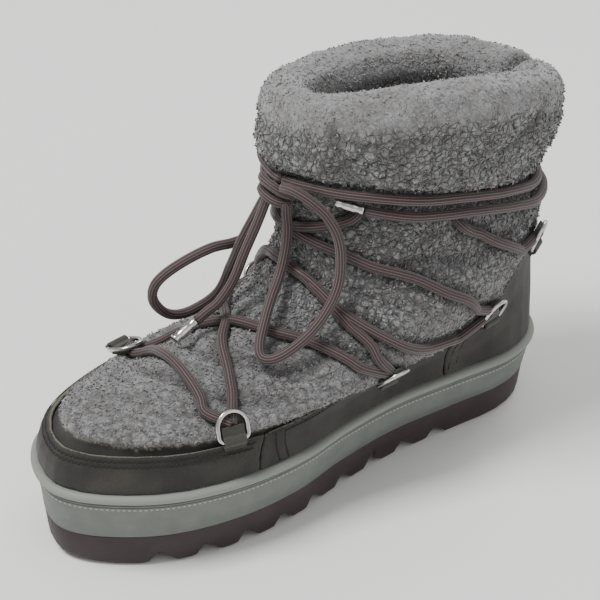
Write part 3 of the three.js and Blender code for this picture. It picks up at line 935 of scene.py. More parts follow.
BAR = [(34, -75, 68), (26, -73, 71), (13, -72, 75), (-5, -70, 74), (-20, -67, 69), (-36, -68, 61)]
OUT_TO_PAIR_2 = [
    (33, -60, 71), (23, -55, 76), (9, -48, 81), (-2, -38, 84), (-18, -28, 81), (-35, -15, 74),
    (-48, -2, 66),
]
IN_TO_PAIR_2 = [
    (-38, -62, 63), (-31, -48, 67), (-12, -42, 79), (-3, -38, 84), (19, -29, 87), (33, -18, 85),
    (43, -11, 82), (51, -3, 76),
]
OUT_TO_PAIR_3 = [
    (52, 6, 78), (48, 4, 85), (41, 0, 90), (25, -5, 101), (10, -7, 107), (-19, -6, 105), (-34, -1, 96),
    (-45, 6, 90), (-53, 19, 81), (-51, 38, 73), (-46, 58, 68),
]
OUT_TO_ANKLE = [
    (49, 66, 82), (51, 58, 91), (52, 44, 100), (45, 30, 109), (35, 15, 115), (27, 6, 120), (11, -2, 124),
    (1, -4, 126), (-12, -3, 130), (-22, 1, 134), (-30, 5, 138), (-35, 9, 142),
]
HEEL_TO_ANKLE = [(42, 95, 102), (47, 83, 110), (48, 73, 116), (47, 65, 122), (46, 57, 127), (46, 52, 134)]
WRAP = [
    (5, -15, 150), (12.5, -10, 154.5), (21, -6, 155), (35, 7, 153), (41, 18, 151), (45, 31, 148.5),
    (48, 50, 146.5), (47, 67, 143), (42, 89, 136), (36, 106, 129.5), (20, 124, 126), (0, 130, 125),
    (-20, 124, 126), (-36, 106, 129.5), (-42, 89, 136), (-47, 67, 143), (-47, 45, 146.5), (-43, 25, 149.5),
    (-35, 8, 151), (-21, -5, 153), (-5, -9, 152), (3, -14, 150),
]
LOOP_INNER = [
    (12.3, -17, 146.5), (10, -15, 140), (8.4, -13, 131), (8, -13.5, 120.6), (10.1, -18, 109.5),
    (16, -27, 102), (22.5, -35.5, 94.5), (27.5, -41, 89), (32, -43, 85.5), (36, -40, 85.5),
    (38.5, -33, 88.5), (39.5, -22.5, 94.5), (37.5, -12, 101.5), (36, -5, 111), (34.5, -2.5, 121),
    (32, -2.5, 133), (29, -7, 144), (25, -13.5, 152), (18.5, -18, 155.5), (12, -18.5, 154),
]
LOOP_OUTER = [
    (2.5, -10.5, 142.3), (-7, -12.5, 138.5), (-14, -12, 130.5), (-17.5, -12.5, 122.5), (-17.5, -16, 116),
    (-17, -24.5, 115), (-17, -37, 116), (-20, -52, 111), (-22, -62.5, 104.5), (-23.5, -64.5, 97),
    (-25, -60, 88), (-26, -52, 81.5), (-25, -42.5, 81), (-19.5, -32, 89.5), (-13, -29, 106),
    (-9, -25.5, 120.5), (-5.5, -20, 134.5), (-1.5, -18, 144.2),
]
END_FRONT = [
    (3.5, -21, 146), (1.5, -24.5, 134), (-0.5, -30, 119.5), (-2, -35, 106), (-3.5, -42, 96),
    (-4.7, -47.5, 92.3), (-5, -53, 89.2),
]
END_ROUND = [
    (-4, -15, 145.3), (-12.5, -9.7, 144.3), (-23.5, -3, 144.5), (-34.5, 8, 144), (-45, 27.5, 141),
    (-49.5, 44.5, 138), (-50.5, 67, 134), (-46, 90, 128.5), (-38.5, 107, 122), (-22, 126, 120),
    (0, 133.5, 119), (22.5, 126, 120), (38.5, 108, 122), (46.5, 87, 128.5), (50.5, 67, 134.5),
    (50.5, 57, 136.5), (49, 42.5, 138.5), (45.5, 29, 140), (40, 17.5, 142.5), (35.5, 9, 145),
]
KNOT_TURNS = [
    (-4, -18, 153), (2, -21.5, 154.5), (9, -20, 152.5), (11, -15, 149), (8, -10.5, 146), (2, -10, 145.5),
    (-3, -13, 147), (-3, -18.5, 148.5), (2, -22, 148.5), (9, -20.5, 146.5), (11, -16, 145),
]


@dataclass
class Lacing:
    """The round lace: tight strands between the rings, the knot, and the bow's free loops and ends."""

    form: Form
    surface: Surface
    height: float = 1.9  # of a tight strand's middle over the fur's outside
    aglet_radius: float = 2.5
    aglet_length: float = 13.0
    crimp_at: float = 3.5  # from the aglet's middle
    crimp: float = 0.88
    tips: dict[str, tuple] = field(
        default_factory=lambda: {"front": (-4, -72, 80.5), "round": (25.5, -2.5, 149)}
    )

    def ring_middle(self, pair: int, side: Side) -> Vector:
        """The middle of a ring, just under its wire."""
        place = ring_place(self.form, RING_AT[pair], side)
        return place @ Vector((0, 7.5, -0.6))

    def strand(self, route: list[tuple], start: tuple | None, end: tuple | None) -> list[Vector]:
        """A tight strand drawn on to the fur, from ring to ring.

        Args:
            route: its points between the rings.
            start: the pair and side of the ring it leaves, or None.
            end: the pair and side of the ring it goes to, or None where it is tucked in.

        Returns:
            The path in millimetres.
        """
        path = [self.surface.drawn(p, self.height) for p in smooth_path([Vector(p) for p in route], 6.0)]
        if start:
            path.insert(0, self.ring_middle(*start))
        if end:
            path.append(self.ring_middle(*end))
        elif route is not WRAP:
            path[-1] = self.surface.drawn(path[-1], -3.0)
        return smooth_path(path, 1.6)

    def tight(self) -> dict[str, list[list[Vector]]]:
        """The strands of each tight lace, by the CAD node that it stands for."""
        inner, outer = Side.MEDIAL, Side.LATERAL
        return {
            "lace_bar": [self.strand(BAR, (1, inner), (1, outer))],
            "lace_cross_1": [
                self.strand(OUT_TO_PAIR_2, (1, inner), (2, outer)),
                self.strand(IN_TO_PAIR_2, (1, outer), (2, inner)),
            ],
            "lace_cross_2": [
                self.strand(OUT_TO_PAIR_3, (2, inner), (3, outer)),
                self.strand(mirrored(OUT_TO_PAIR_3), (2, outer), (3, inner)),
            ],
            "lace_cross_3": [
                self.strand(OUT_TO_ANKLE, (3, inner), None),
                self.strand(mirrored(OUT_TO_ANKLE), (3, outer), None),
            ],
            "lace_heel_medial": [self.strand(HEEL_TO_ANKLE, (4, inner), None)],
            "lace_heel_lateral": [self.strand(mirrored(HEEL_TO_ANKLE), (4, outer), None)],
            "lace_ankle_wrap": [self.strand(WRAP, None, None)],
        }

    def build(self) -> list[Vector]:
        """Builds every lace.

        Returns:
            Points along the laces that press on the fur.
        """
        material = ROUND_LACE.made()
        pressed = []
        for node, strands in self.tight().items():
            for path in strands:
                pressed.extend(path)
            bm = joined([tube(path, LACE / 2) for path in strands])
            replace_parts(placed(bm, node.replace("lace_", "tight_lace_"), material), node)
        turns = smooth_path([Vector(p) for p in KNOT_TURNS], 1.2)
        knot = placed(tube(turns, LACE / 2 - 0.2), "bow_knot", material)
        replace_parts(knot, "lace_knot")
        for where, route in (("inner", LOOP_INNER), ("outer", LOOP_OUTER)):
            self.free(route, f"bow_loop_{where}", f"lace_loop_{where}", material, "object", [])
        metal = NICKEL.made()
        for where, route in (("front", END_FRONT), ("round", END_ROUND)):
            cap = self.aglet(route, where, metal)
            path = self.free(route, f"bow_end_{where}", f"lace_end_{where}", material, "fitting", [cap])
            if where == "round":
                pressed.extend(path)
        return pressed

    def free(
        self,
        route: list[tuple],
        name: str,
        node: str,
        material: Material,
        far_end: str,
        carried: list[Object],
    ) -> list[Vector]:
        """Builds one free lace.

        Args:
            route: its points in millimetres.
            name: the piece's name.
            node: the CAD node it stands for.
            material: its finish.
            far_end: what is at its far end; not used.
            carried: the pieces on it; not used.

        Returns:
            Its path in millimetres.
        """
        path = smooth_path([Vector(p) for p in route], 1.6)
        piece = placed(tube(path, LACE / 2), name, material)
        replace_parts(piece, node)
        return path

    def aglet(self, route: list[tuple], where: str, material: Material) -> Object:
        """Builds the crimped metal sleeve on a lace's end.

        Args:
            route: the lace's points in millimetres.
            where: the lace's name.
            material: the metal finish.

        Returns:
            The sleeve.
        """
        start = Vector(route[-1])
        axis = (Vector(self.tips[where]) - start).normalized()
        bm = bmesh.new()
        radius, length = self.aglet_radius * MM, self.aglet_length * MM
        bmesh.ops.create_cone(bm, cap_ends=True, segments=20, radius1=radius, radius2=radius, depth=length)
        ends = [e for e in bm.edges if len({round(v.co.z, 6) for v in e.verts}) == 1]
        bevelled(bm, ends, 0.5, 3)
        sides = [e for e in bm.edges if abs(e.verts[0].co.z - e.verts[1].co.z) > 8 * MM]
        bmesh.ops.subdivide_edges(bm, edges=sides, cuts=12)
        for vertex in bm.verts:
            if abs(abs(vertex.co.z) - self.crimp_at * MM) < 0.8 * MM:
                vertex.co.x *= self.crimp
                vertex.co.y *= self.crimp
        turn = Vector((0, 0, 1)).rotation_difference(axis).to_matrix().to_4x4()
        middle = (start + axis * 7.1) * MM
        bmesh.ops.transform(bm, matrix=Matrix.Translation(middle) @ turn, verts=bm.verts)
        piece = placed(bm, f"lace_tip_{where}", material)
        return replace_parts(piece, f"aglet_{where}")


# ---- D-rings ---------------------------------------------------------------------------------
RING_AT = {1: 0.228, 2: 0.54, 3: 0.775, 4: 0.88}  # each pair's share of the foot's length, from the toe
RING_LEAN = 3.1 / 15.5  # outwards, for its height


def ring_place(form: Form, at: float, side: Side) -> Matrix:
    """Where a ring sits.

    Args:
        form: the boot's form.
        at: its share of the foot's length from the toe.
        side: the side of the foot.

    Returns:
        A frame in millimetres on the ring's bar: x across it, y up along the boot, z outwards.
    """
    angle = side.value * angle_at(at)
    level = form.edge(angle, "leather") + 0.4
    out = form.normal(angle, level + 0.4)
    up = (Vector((0, 0, 1)) - out * out.z).normalized()
    up = (up + out * RING_LEAN).normalized()
    across = up.cross(out).normalized()
    place = Matrix((across, up, across.cross(up))).transposed().to_4x4()
    place.translation = form.offset(angle, level, 2.3)
    return place


@dataclass
class DRing:
    """A wire D on a leather tab, with a leather backing behind it."""

    form: Form
    pair: int
    side: Side
    width: float = 16.2
    height: float = 15.5
    corner: float = 2.6
    backing: float = 1.1  # how thick the leather behind the ring is
    behind: float = 2.6  # how far behind the ring's middle it starts

    @property
    def name(self) -> str:
        """The ring's side and pair."""
        return f"{self.side.name.lower()}_{self.pair}"

    def outline(self, grow: float) -> list[Vector]:
        """The D's centre line.

        Args:
            grow: how much larger it is drawn, in millimetres.

        Returns:
            Its points, in the ring's frame.
        """
        half = (self.width - WIRE) / 2 + grow
        corner = self.corner
        rise = self.height - WIRE - half + grow
        parts = [
            (corner - half, corner - grow, corner, 270, 180, 5),
            (0, rise, half, 180, 0, 20),
            (half - corner, corner - grow, corner, 0, -90, 5),
        ]
        points = []
        for x, y, radius, start, end, count in parts:
            for i in range(count):
                a = math.radians(mix(start, end, i / (count - 1)))
                points.append(Vector((x + radius * math.cos(a), y + radius * math.sin(a), 0)))
        return points

    def build(self, wire: Material, hide: Material) -> None:
        """Builds the wire, the tab and its backing.

        Args:
            wire: the metal finish.
            hide: the leather finish.
        """
        place = ring_place(self.form, RING_AT[self.pair], self.side)
        path = [place @ p for p in self.outline(0)]
        ring = placed(tube(path, WIRE / 2, 12, cyclic=True), f"d_ring_{self.name}", wire)
        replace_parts(ring, f"ring_{self.name}")
        tab = cad_copy(f"tab_{self.name}")
        bevelled(tab, sharp_edges(tab, 0.7), 0.35, 2)
        backing = bmesh.new()
        points = [backing.verts.new(p) for p in self.outline(-0.5)]
        face = backing.faces.new(points)
        solid = bmesh.ops.extrude_face_region(backing, geom=[face])
        moved = [v for v in solid["geom"] if isinstance(v, BMVert)]
        bmesh.ops.translate(backing, verts=moved, vec=(0, 0, self.backing))
        bmesh.ops.recalc_face_normals(backing, faces=backing.faces)
        bmesh.ops.transform(backing, matrix=Matrix.Translation((0, 0, -self.behind)), verts=backing.verts)
        bmesh.ops.transform(backing, matrix=Matrix.Scale(MM, 4) @ place, verts=backing.verts)
        piece = placed(joined([tab, backing]), f"leather_tab_{self.name}", hide)
        piece.data.polygons.foreach_set("use_smooth", [False] * len(piece.data.polygons))
        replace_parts(piece, f"tab_{self.name}")


# ---- Fleece ----------------------------------------------------------------------------------
@dataclass(frozen=True)
class Crease:
    """A soft fold in the fleece, from one place on the form to another, in degrees and sections."""

    start: tuple[float, float]
    end: tuple[float, float]
    depth: float
    width: float


CREASES = [
    Crease((-25, 5.6), (52, 5.9), 1.9, 3.0),
    Crease((-35, 6.7), (40, 6.9), 1.6, 2.8),
    Crease((-60, 4.6), (-12, 4.9), 1.4, 2.6),
    Crease((35, 7.8), (85, 6.4), 1.3, 3.0),
    Crease((60, 9.4), (125, 9.0), 1.5, 3.6),
    Crease((70, 11.1), (150, 10.9), 1.2, 3.4),
    Crease((-70, 9.3), (-125, 9.0), 1.5, 3.6),
    Crease((-70, 11.0), (-150, 10.9), 1.2, 3.4),
    Crease((95, 12.4), (120, 14.0), 1.4, 3.2),
    Crease((-40, 12.4), (-20, 14.2), 1.4, 3.0),
    Crease((38, 12.6), (30, 14.2), 1.2, 3.0),
]


@dataclass
class Fleece:
    """The curly upper: one hollow wall, its rim of hide, and the locks that stand out of it."""

    form: Form
    surface: Surface
    pressed: list[Vector]
    voxel: float = 1.5
    curl: float = 3.9  # across a clump on the cuff
    nap: float = 3.2  # across a clump on the vamp
    locks: int = 9400  # in each of the three pieces of locks, before those at the laces are left out
    press: float = 1.8  # how deep a lace presses into the fleece
    press_width: float = 4.2
    swell: float = 0.9  # how high the fleece swells beside a lace
    swell_at: float = 8.0  # from the lace's middle
    swell_width: float = 4.0
    clear: float = 3.4  # how far from a lace's middle the locks begin

    def __post_init__(self) -> None:
        """Indexes the pressed points and the creases' points."""
        self.lace_tree = indexed(self.pressed)
        self.crease_rows = []
        for crease in CREASES:
            for i in range(41):
                t = i / 40
                angle = math.radians(mix(crease.start[0], crease.end[0], t))
                bow = 0.12 * math.sin(7 * t + crease.depth * 9)
                p = self.form.point(angle, mix(crease.start[1], crease.end[1], t) + bow)
                fade = math.sin(math.pi * max(0.03, t)) ** 0.6
                self.crease_rows.append((p, crease.depth * fade, crease.width))
        self.crease_tree = indexed([row[0] for row in self.crease_rows])

    def clump(self, p: Vector, size: float) -> float:
        """How high a point lies on its curl.

        Args:
            p: the point in millimetres.
            size: across a curl.

        Returns:
            From 0 in a gap to 1 on the crown.
        """
        q = p / size
        q += noise.noise_vector(q * 0.9) * 0.45
        near, next_near = noise.voronoi(q)[0][:2]
        return smooth((next_near - near) * 2.1)

    def parted(self, level: float) -> float:
        """How strongly the curls part: least on the collar's soft crest, some on the vamp."""
        return mix(0.26, 0.85, self.coarse(abs(level))) * (1 - 0.85 * self.crest(abs(level), 13.5))

    def coarse(self, level: float) -> float:
        """How coarse the curls are: 0 on the vamp and 1 on the cuff."""
        return smooth((level - 5.5) / 4.5)

    def crest(self, level: float, start: float = 13.4) -> float:
        """How near a section is to the collar's soft crest: 0 at its start and 1 on it."""
        return smooth((level - start) / 0.6)

    def relief(self, p: Vector, level: float) -> tuple[float, float]:
        """The fleece's relief.

        Args:
            p: a point in millimetres.
            level: its section number.

        Returns:
            The height to add in millimetres, and the crown value, which carries painted shade: low in the
            gaps, lower where a lace presses in and in a crease's fold, and raised to a pale painted
            highlight on the collar's crest.
        """
        coarse = self.coarse(level)
        size = mix(self.nap, self.curl, coarse)
        big = self.clump(p, self.curl * 1.5 if coarse > 0.5 else size * 1.6)
        small = self.clump(p + Vector((31, 17, 5)), size * 0.75)
        crest = self.crest(level)
        amount = mix(0.75, 1.9, coarse) * (1 - 0.6 * crest)
        roll = noise.noise(p / 26.0) * mix(1.0, 1.5, coarse) + noise.noise(p / 11.0) * 0.7
        height = amount * (0.6 * big + 0.4 * small - 0.55) + roll
        _, _, away = self.lace_tree.find(p)
        press = math.exp(-((away / self.press_width) ** 2))
        swell = math.exp(-(((away - self.swell_at) / self.swell_width) ** 2))
        height += self.swell * swell - self.press * press
        _, i, gone = self.crease_tree.find(p)
        _, depth, width = self.crease_rows[i]
        fold = math.exp(-((gone / width) ** 2))
        height += depth * (0.55 * math.exp(-(((gone - 2.2 * width) / width) ** 2)) - fold)
        # painted highlight and shade: the crown value is raised to an even pale on the crest, lowered under
        # a lace's press and in a fold
        crown = mix(0.12 + 0.5 * big + 0.38 * small, 0.82, 0.65 * crest)
        return height, crown * (1 - 0.45 * press) * (1 - 0.55 * fold)

    def build(self) -> None:
        """Builds the wall, its rim of hide and the locks."""
        bm = remeshed(cad_copy("upper"), self.voxel)
        crowns, heights, hides, levels = [], [], [], []
        for vertex in bm.verts:
            p = vertex.co / MM
            angle, level, over, out = self.surface.find(p)
            outside = over > -8 and (vertex.normal.dot(out) > -0.2 or level > TOP - 0.6)
            recess = outside and level < self.form.edge(angle, "fur") + 0.05 and over < -2.2
            hides.append(1.0 if recess else 0.0)
            levels.append(level if outside else -level)
            if recess:
                heights.append(0.0)
                crowns.append(0.2)
                continue
            height, crown = self.relief(p, level if outside else 14.0)
            away = level - self.form.edge(angle, "fur")
            heights.append(height * (smooth(away / 0.5) * 0.9 + 0.1 if outside else 0.6))
            crowns.append(crown)
        for vertex, height in zip(bm.verts, heights):
            vertex.co += vertex.normal * height * MM
        paint(bm, "crown", crowns)
        paint(bm, "parted", [self.parted(level) for level in levels])
        bm.verts.ensure_lookup_table()
        cut = []
        for vertex, hide in zip(bm.verts, hides):
            rim = hide > 0.5 and any(hides[e.other_vert(vertex).index] < 0.5 for e in vertex.link_edges)
            cut.append(0.8 if rim else 0.0)
        paint(bm, "cut", cut)
        for face in bm.faces:
            face.smooth = True
            face.material_index = 1 if sum(hides[v.index] for v in face.verts) >= 3 else 0
        spots = [
            (f.calc_center_median(), f.normal.copy(), levels[f.verts[0].index], crowns[f.verts[0].index])
            for f in bm.faces
            if f.material_index == 0
        ]
        piece = placed(bm, "fleece_upper", SHEARLING.made())
        piece.data.materials.append(NUBUCK.made())
        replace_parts(piece, "upper")
        self.scatter(spots)

    def lock(self) -> BMesh:
        """One curled lock, before it is scaled: a three sided hook that tapers to its tip.

        Returns:
            The mesh, one unit being one millimetre, with its "crown" values, low at the root as painted
            shade and paler towards the tip.
        """
        bm = bmesh.new()
        layer = bm.verts.layers.float.new("crown")
        ring = bmesh.ops.create_circle(bm, segments=3, radius=0.24)["verts"]
        bmesh.ops.translate(bm, verts=ring, vec=(0, 0, -0.16))
        # painted shade: the root ring gets a low crown value
        for vertex in ring:
            vertex[layer] = 0.3
        root = edges = list(bm.edges)
        for step, (turn, thin) in enumerate(((0.7, 1.15), (0.95, 0.95), (1.1, 0.75))):
            edges, verts = grown(bm, edges)
            bend = sum((v.co for v in verts), Vector()) / 3 + Vector((0.3, 0, 0))
            bmesh.ops.rotate(bm, verts=verts, cent=bend, matrix=Matrix.Rotation(turn, 3, "Y"))
            centre = sum((v.co for v in verts), Vector()) / 3
            bmesh.ops.scale(bm, verts=verts, vec=(thin,) * 3, space=Matrix.Translation(-centre))
            # paler towards the tip, away from the root's painted shade
            for vertex in verts:
                vertex[layer] = 0.45 + 0.17 * step
        bmesh.ops.contextual_create(bm, geom=edges)
        bmesh.ops.contextual_create(bm, geom=root)
        bmesh.ops.triangulate(bm, faces=bm.faces)
        bmesh.ops.recalc_face_normals(bm, faces=bm.faces)
        bm.verts.index_update()
        return bm

    def scatter(self, spots: list[tuple[Vector, Vector, float, float]]) -> None:
        """Sets locks all over the fleece, clear of the laces.

        Args:
            spots: places on the wall, with their normal, section number (negative inside) and crown.
        """
        dice = random.Random(SEED)
        material = LOCKS.made()
        groups = {
            "fleece_locks_vamp": [s for s in spots if 0 <= s[2] < 7.2],
            "fleece_locks_ankle": [s for s in spots if 7.2 <= s[2] < 11.8],
            "fleece_locks_cuff": [s for s in spots if s[2] >= 11.8 or s[2] < -9.5],
        }
        for name, group in groups.items():
            chosen = dice.choices(group, weights=[0.25 + s[3] for s in group], k=self.locks)
            places, tones, parted = [], [], []
            for centre, normal, level, crown in chosen:
                p = centre / MM
                if self.lace_tree.find(p)[2] < self.clear:
                    continue
                size = dice.uniform(1.5, 2.5) * mix(0.75, 1.0, self.coarse(abs(level)))
                size *= 1 - 0.2 * self.crest(abs(level))
                lean = Matrix.Rotation(dice.uniform(-0.5, 0.5), 4, "X")
                spin = Matrix.Rotation(dice.uniform(0, 2 * math.pi), 4, "Z")
                stand = normal.to_track_quat("Z", "Y").to_matrix().to_4x4()
                spot = centre + normal * dice.uniform(-0.45, -0.1) * MM
                places.append(Matrix.Translation(spot) @ stand @ spin @ lean @ Matrix.Scale(size * MM, 4))
                # each lock's tone follows the crown value under it, carrying the painted shade of gaps,
                # laces and creases, with a random spread
                tones.append(0.5 * (crown - 0.6) + dice.uniform(-0.16, 0.14))
                parted.append(self.parted(level))
            mesh, count = scattered(self.lock(), places, tones, parted)
            log.info("%s: %d locks", name, count)
            tufts = shown(mesh, name, material)
            tufts.data.polygons.foreach_set("use_smooth", [False] * len(mesh.polygons))


# ---- Bands -----------------------------------------------------------------------------------
@dataclass
class Bands:
    """The leather foxing, the quarters and the heel counter, with their cut edge and stitching."""

    form: Form
    surface: Surface
    voxel: float = 0.8
    seam_front: float = 0.3  # the seams' shares of the foot's length, from the toe
    seam_back: float = 0.725
    thread: float = 0.46  # across a stitch's thread
    zigzag: tuple[float, float] = (1.25, 0.45)  # from stitch to stitch, and how far each one leans
    straight: tuple[float, float] = (2.2, 0.0)

    def build(self) -> None:
        """Builds the bands, then the stitching."""
        hide = NUBUCK.made()
        for node in ("toe_foxing", "quarter_medial", "quarter_lateral", "heel_counter"):
            bm = remeshed(cad_copy(node), self.voxel)
            cut = []
            for vertex in bm.verts:
                p = vertex.co / MM
                angle, level, _, out = self.surface.find(p)
                edge = self.form.edge(angle, "leather")
                facing = vertex.normal.dot(out)
                cut.append(smooth((level - edge + 0.22) / 0.12) * smooth((0.9 - facing) / 0.25))
                vertex.co += vertex.normal * noise.noise(p / 15.0) * 0.22 * MM
            paint(bm, "cut", cut)
            piece = placed(bm, node + "_nubuck", hide)
            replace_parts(piece, node)
        self.stitch()

    def on_band(self, angle: float, below: float, lift: float = 0.15) -> tuple[Vector, Vector]:
        """A place on the bands' face.

        Args:
            angle: round the foot.
            below: millimetres under the cut edge.
            lift: over the face.

        Returns:
            The point in millimetres and its normal.
        """
        edge = self.form.edge(angle, "leather")
        rise = (self.form.point(angle, edge) - self.form.point(angle, edge - 1)).length
        level = max(0.05, edge - below / rise)
        return self.form.offset(angle, level, BAND_FACE + lift), self.form.normal(angle, level)

    def row(self, start: float, end: float, below: tuple[float, float], stitch: float, tilt: float) -> list:
        """A row of stitches along the bands.

        Args:
            start: the angle where it begins.
            end: the angle where it ends.
            below: millimetres under the cut edge at its start and at its end.
            stitch: millimetres from one stitch to the next.
            tilt: how far each stitch leans, in millimetres, one way and then the other.

        Returns:
            The two ends and the normal of each stitch.
        """
        samples = 400
        ways = [i / samples for i in range(samples + 1)]
        run = runs([self.on_band(mix(start, end, t), mix(*below, t))[0] for t in ways])
        count = int(run[-1] / stitch)
        shares = np.interp(np.arange(count + 1) * stitch, run, np.linspace(0, 1, samples + 1))
        made = []
        for i, (a, b) in enumerate(zip(shares, shares[1:])):
            sway = tilt if i % 2 else -tilt
            first, out = self.on_band(mix(start, end, a), mix(*below, a) + sway)
            share = mix(a, b, 0.72 if tilt == 0 else 1.0)
            last, _ = self.on_band(mix(start, end, share), mix(*below, share) - sway)
            made.append((first, last, out))
        return made

    def stitch(self) -> None:
        """Builds all the stitching as one piece of threads."""
        front, back = angle_at(self.seam_front), angle_at(self.seam_back)
        rows = []
        for side in Side:
            sign = side.value
            for below in (3.0, 5.4):
                rows += self.row(0.0, sign * (front - 0.03), (below, below), *self.zigzag)
            lines = []
            for shift in (0.05, 0.09):
                lines.append((front + shift, front + shift + 0.04, (2.0, 17.0)))
                lines.append((back + shift, back + shift - 0.03, (2.0, 21.0)))
            lines.append((front + 0.09, back - 0.02, (2.6, 2.6)))
            lines.append((back + 0.02, math.pi - 0.02, (2.6, 2.6)))
            for start, end, below in lines:
                rows += self.row(sign * start, sign * end, below, *self.straight)
        thread = bmesh.new()
        layer = thread.verts.layers.float.new("crown")
        bmesh.ops.create_cone(thread, cap_ends=False, segments=5, radius1=0.5, radius2=0.5, depth=1.0)
        for vertex in thread.verts:
            vertex[layer] = 0.5
        thread.verts.index_update()
        places = []
        for first, last, out in rows:
            along = last - first
            axis = along.normalized()
            across = axis.cross(out).normalized()
            turn = Matrix((across * self.thread, across.cross(axis) * 0.42, along)).transposed().to_4x4()
            turn.translation = (first + last) / 2
            places.append(Matrix.Scale(MM, 4) @ turn)
        mesh, count = scattered(thread, places, [0.0] * len(places), [0.0] * len(places))
        log.info("stitching: %d stitches", count)
        shown(mesh, "foxing_stitches", THREAD.made())


# ---- Sole ------------------------------------------------------------------------------------
@dataclass
class Sole:
    """The foam midsole with its bead and grooves, the rubber outsole and the insole."""

    form: Form
    columns: int = 420  # of the midsole's quads, round the foot
    profile: tuple = (
        (4.7, 19.0), (3.8, 15.0), (3.1, 11.5), (2.6, 9.0), (2.3, 7.0), (2.2, 6.6), (2.5, 6.3), (2.1, 6.0),
        (1.9, 5.2), (2.7, 4.9), (2.7, 4.5), (1.5, 4.2), (0.6, 3.6), (0.1, 2.8), (0.0, 2.1), (0.2, 1.3),
        (0.8, 0.6), (1.6, 0.15), (2.6, 0.0), (9.0, 0.0),
    )  # each row's inset from the outline and drop below the top, from the foot up

    def midsole(self) -> None:
        """Builds the midsole by drawing a footprint's ring up and in, row by row."""
        bm = bmesh.new()
        drops = bm.verts.layers.float.new("drop")
        alongs = bm.verts.layers.float.new("along")
        angles = [(i + 0.5) / self.columns * 2 * math.pi - math.pi for i in range(self.columns)]
        ring = bmesh.ops.create_circle(bm, segments=self.columns, radius=1.0)["verts"]
        first = edges = list(bm.edges)
        run = runs([self.form.footprint(a, 3.0) for a in angles])
        ring = sorted(ring, key=lambda v: math.atan2(v.co.x, -v.co.y))
        order = {v: i for i, v in enumerate(ring)}
        for step, (inset, drop) in enumerate(self.profile):
            if step:
                edges, vertices = grown(bm, edges)
                fresh = set(vertices)
                order = {
                    next(e.other_vert(v) for e in v.link_edges if e.other_vert(v) in fresh): i
                    for v, i in order.items()
                }
            for vertex, i in order.items():
                p = self.form.footprint(angles[i], inset)
                top = self.form.sole_top(p.y)
                foot = self.form.outsole_top(p.y) + GAP
                z = foot if step == 0 else max(top - drop, foot)
                vertex.co = Vector((p.x, p.y, z)) * MM
                vertex[drops] = top - z
                vertex[alongs] = run[i]
        bmesh.ops.contextual_create(bm, geom=first)
        bmesh.ops.contextual_create(bm, geom=edges)
        bmesh.ops.recalc_face_normals(bm, faces=bm.faces)
        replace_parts(placed(bm, "eva_midsole", EVA.made()), "midsole")

    def outsole(self) -> None:
        """Rounds the edges of the tread."""
        bm = cad_copy("outsole")
        bevelled(bm, sharp_edges(bm, 0.45), 0.5, 2)
        piece = placed(bm, "rubber_tread", RUBBER.made())
        piece.data.set_sharp_from_angle(angle=0.6)
        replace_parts(piece, "outsole")

    def insole(self) -> None:
        """Gives the insole a short pile."""
        bm = remeshed(cad_copy("insole"), 2.4)
        crowns = []
        for vertex in bm.verts:
            p = vertex.co / MM
            near = noise.voronoi(p / 4.0)[0][0]
            # painted shade: the crown value falls where the pile sinks away from each tuft's middle
            crowns.append(0.85 - near)
            vertex.co.z += (0.4 - near) * 0.8 * MM
        paint(bm, "crown", crowns)
        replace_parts(placed(bm, "pile_insole", SHEARLING.made()), "insole")

    def build(self) -> None:
        """Builds the three layers."""
        self.midsole()
        self.outsole()
        self.insole()


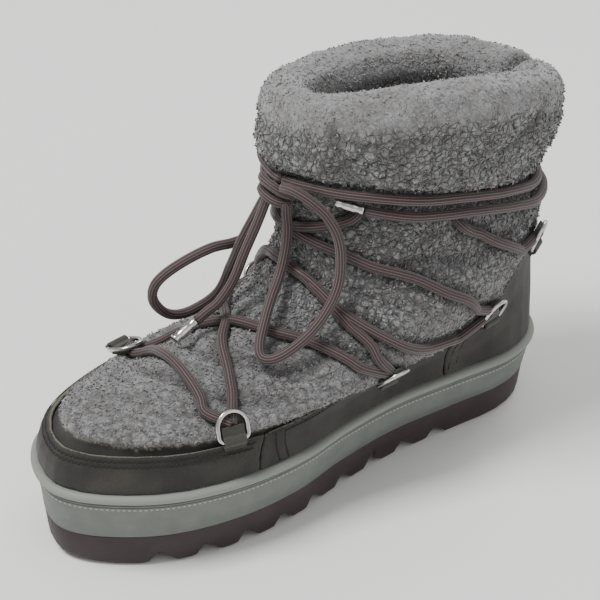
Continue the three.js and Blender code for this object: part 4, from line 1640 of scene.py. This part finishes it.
# ---- Studio ----------------------------------------------------------------------------------
@dataclass
class Studio:
    """The camera, the pale floor and the soft lights."""

    place: tuple[float, float, float] = (0.69515, -0.51311, 0.60258)
    right: tuple[float, float, float] = (0.58542, 0.81051, 0.01877)
    up: tuple[float, float, float] = (-0.42624, 0.28802, 0.85753)
    ahead: tuple[float, float, float] = (-0.68963, 0.51002, -0.51409)
    lens: float = 131.0
    target: tuple[float, float, float] = (0.0, 0.0, 0.08)  # what the lights look at
    daylight: float = 0.62
    lights: tuple = (
        ("key", (-0.2, -0.9, 1.9), 0.7, 42.0),
        ("fill", (1.5, 0.3, 0.9), 1.4, 5.0),
        ("back", (-0.6, 1.3, 1.1), 1.0, 9.0),
    )

    def camera(self) -> None:
        """Sets up the camera, rolled a little."""
        camera = linked("camera", bpy.data.cameras.new("camera"))
        axes = (Vector(self.right), Vector(self.up), -Vector(self.ahead))
        turn = Matrix(axes).transposed().to_4x4()
        camera.matrix_world = Matrix.Translation(self.place) @ turn
        camera.data.lens = self.lens
        camera.data.sensor_width = 36.0
        camera.data.clip_start = 0.05
        camera.data.clip_end = 20.0
        bpy.context.scene.camera = camera

    def light(self, name: str, place: tuple, size: float, power: float) -> None:
        """Adds one soft light that looks at the boot.

        Args:
            name: the light's name.
            place: where it stands, in metres.
            size: of its square, in metres.
            power: in watts.
        """
        lamp = bpy.data.lights.new(name, "AREA")
        lamp.size = size
        lamp.energy = power
        holder = linked(name, lamp)
        aim = Vector(self.target) - Vector(place)
        holder.rotation_euler = aim.to_track_quat("-Z", "Y").to_euler()
        holder.location = place

    def build(self) -> None:
        """Builds the studio."""
        self.camera()
        bm = bmesh.new()
        bmesh.ops.create_grid(bm, x_segments=1, y_segments=1, size=6.0)
        mesh = bpy.data.meshes.new("floor")
        bm.to_mesh(mesh)
        bm.free()
        paper = Plain("matt_paper_floor", 0.9, base="#f4f3f1", second="#f6f5f3", patch=400.0, depth=0.0)
        mesh.materials.append(paper.made())
        linked("floor", mesh)
        world = bpy.data.worlds.new("studio")
        world.use_nodes = True
        background = world.node_tree.nodes["Background"]
        background.inputs["Color"].default_value = linear("#f4f5f6")
        background.inputs["Strength"].default_value = self.daylight
        bpy.context.scene.world = world
        for light in self.lights:
            self.light(*light)


def main() -> None:
    """Builds the boot in order."""
    logging.basicConfig(level=logging.INFO, format="%(name)s: %(message)s")
    noise.seed_set(SEED)  # without it noise_vector takes its seed from the clock
    Studio().build()
    form = Form()
    surface = Surface(form)
    pressed = Lacing(form, surface).build()
    wire, hide = NICKEL.made(), LINING.made()
    for pair in RING_AT:
        for side in Side:
            DRing(form, pair, side).build(wire, hide)
    Sole(form).build()
    Bands(form, surface).build()
    Fleece(form, surface, pressed).build()


if __name__ == "__main__":
    main()
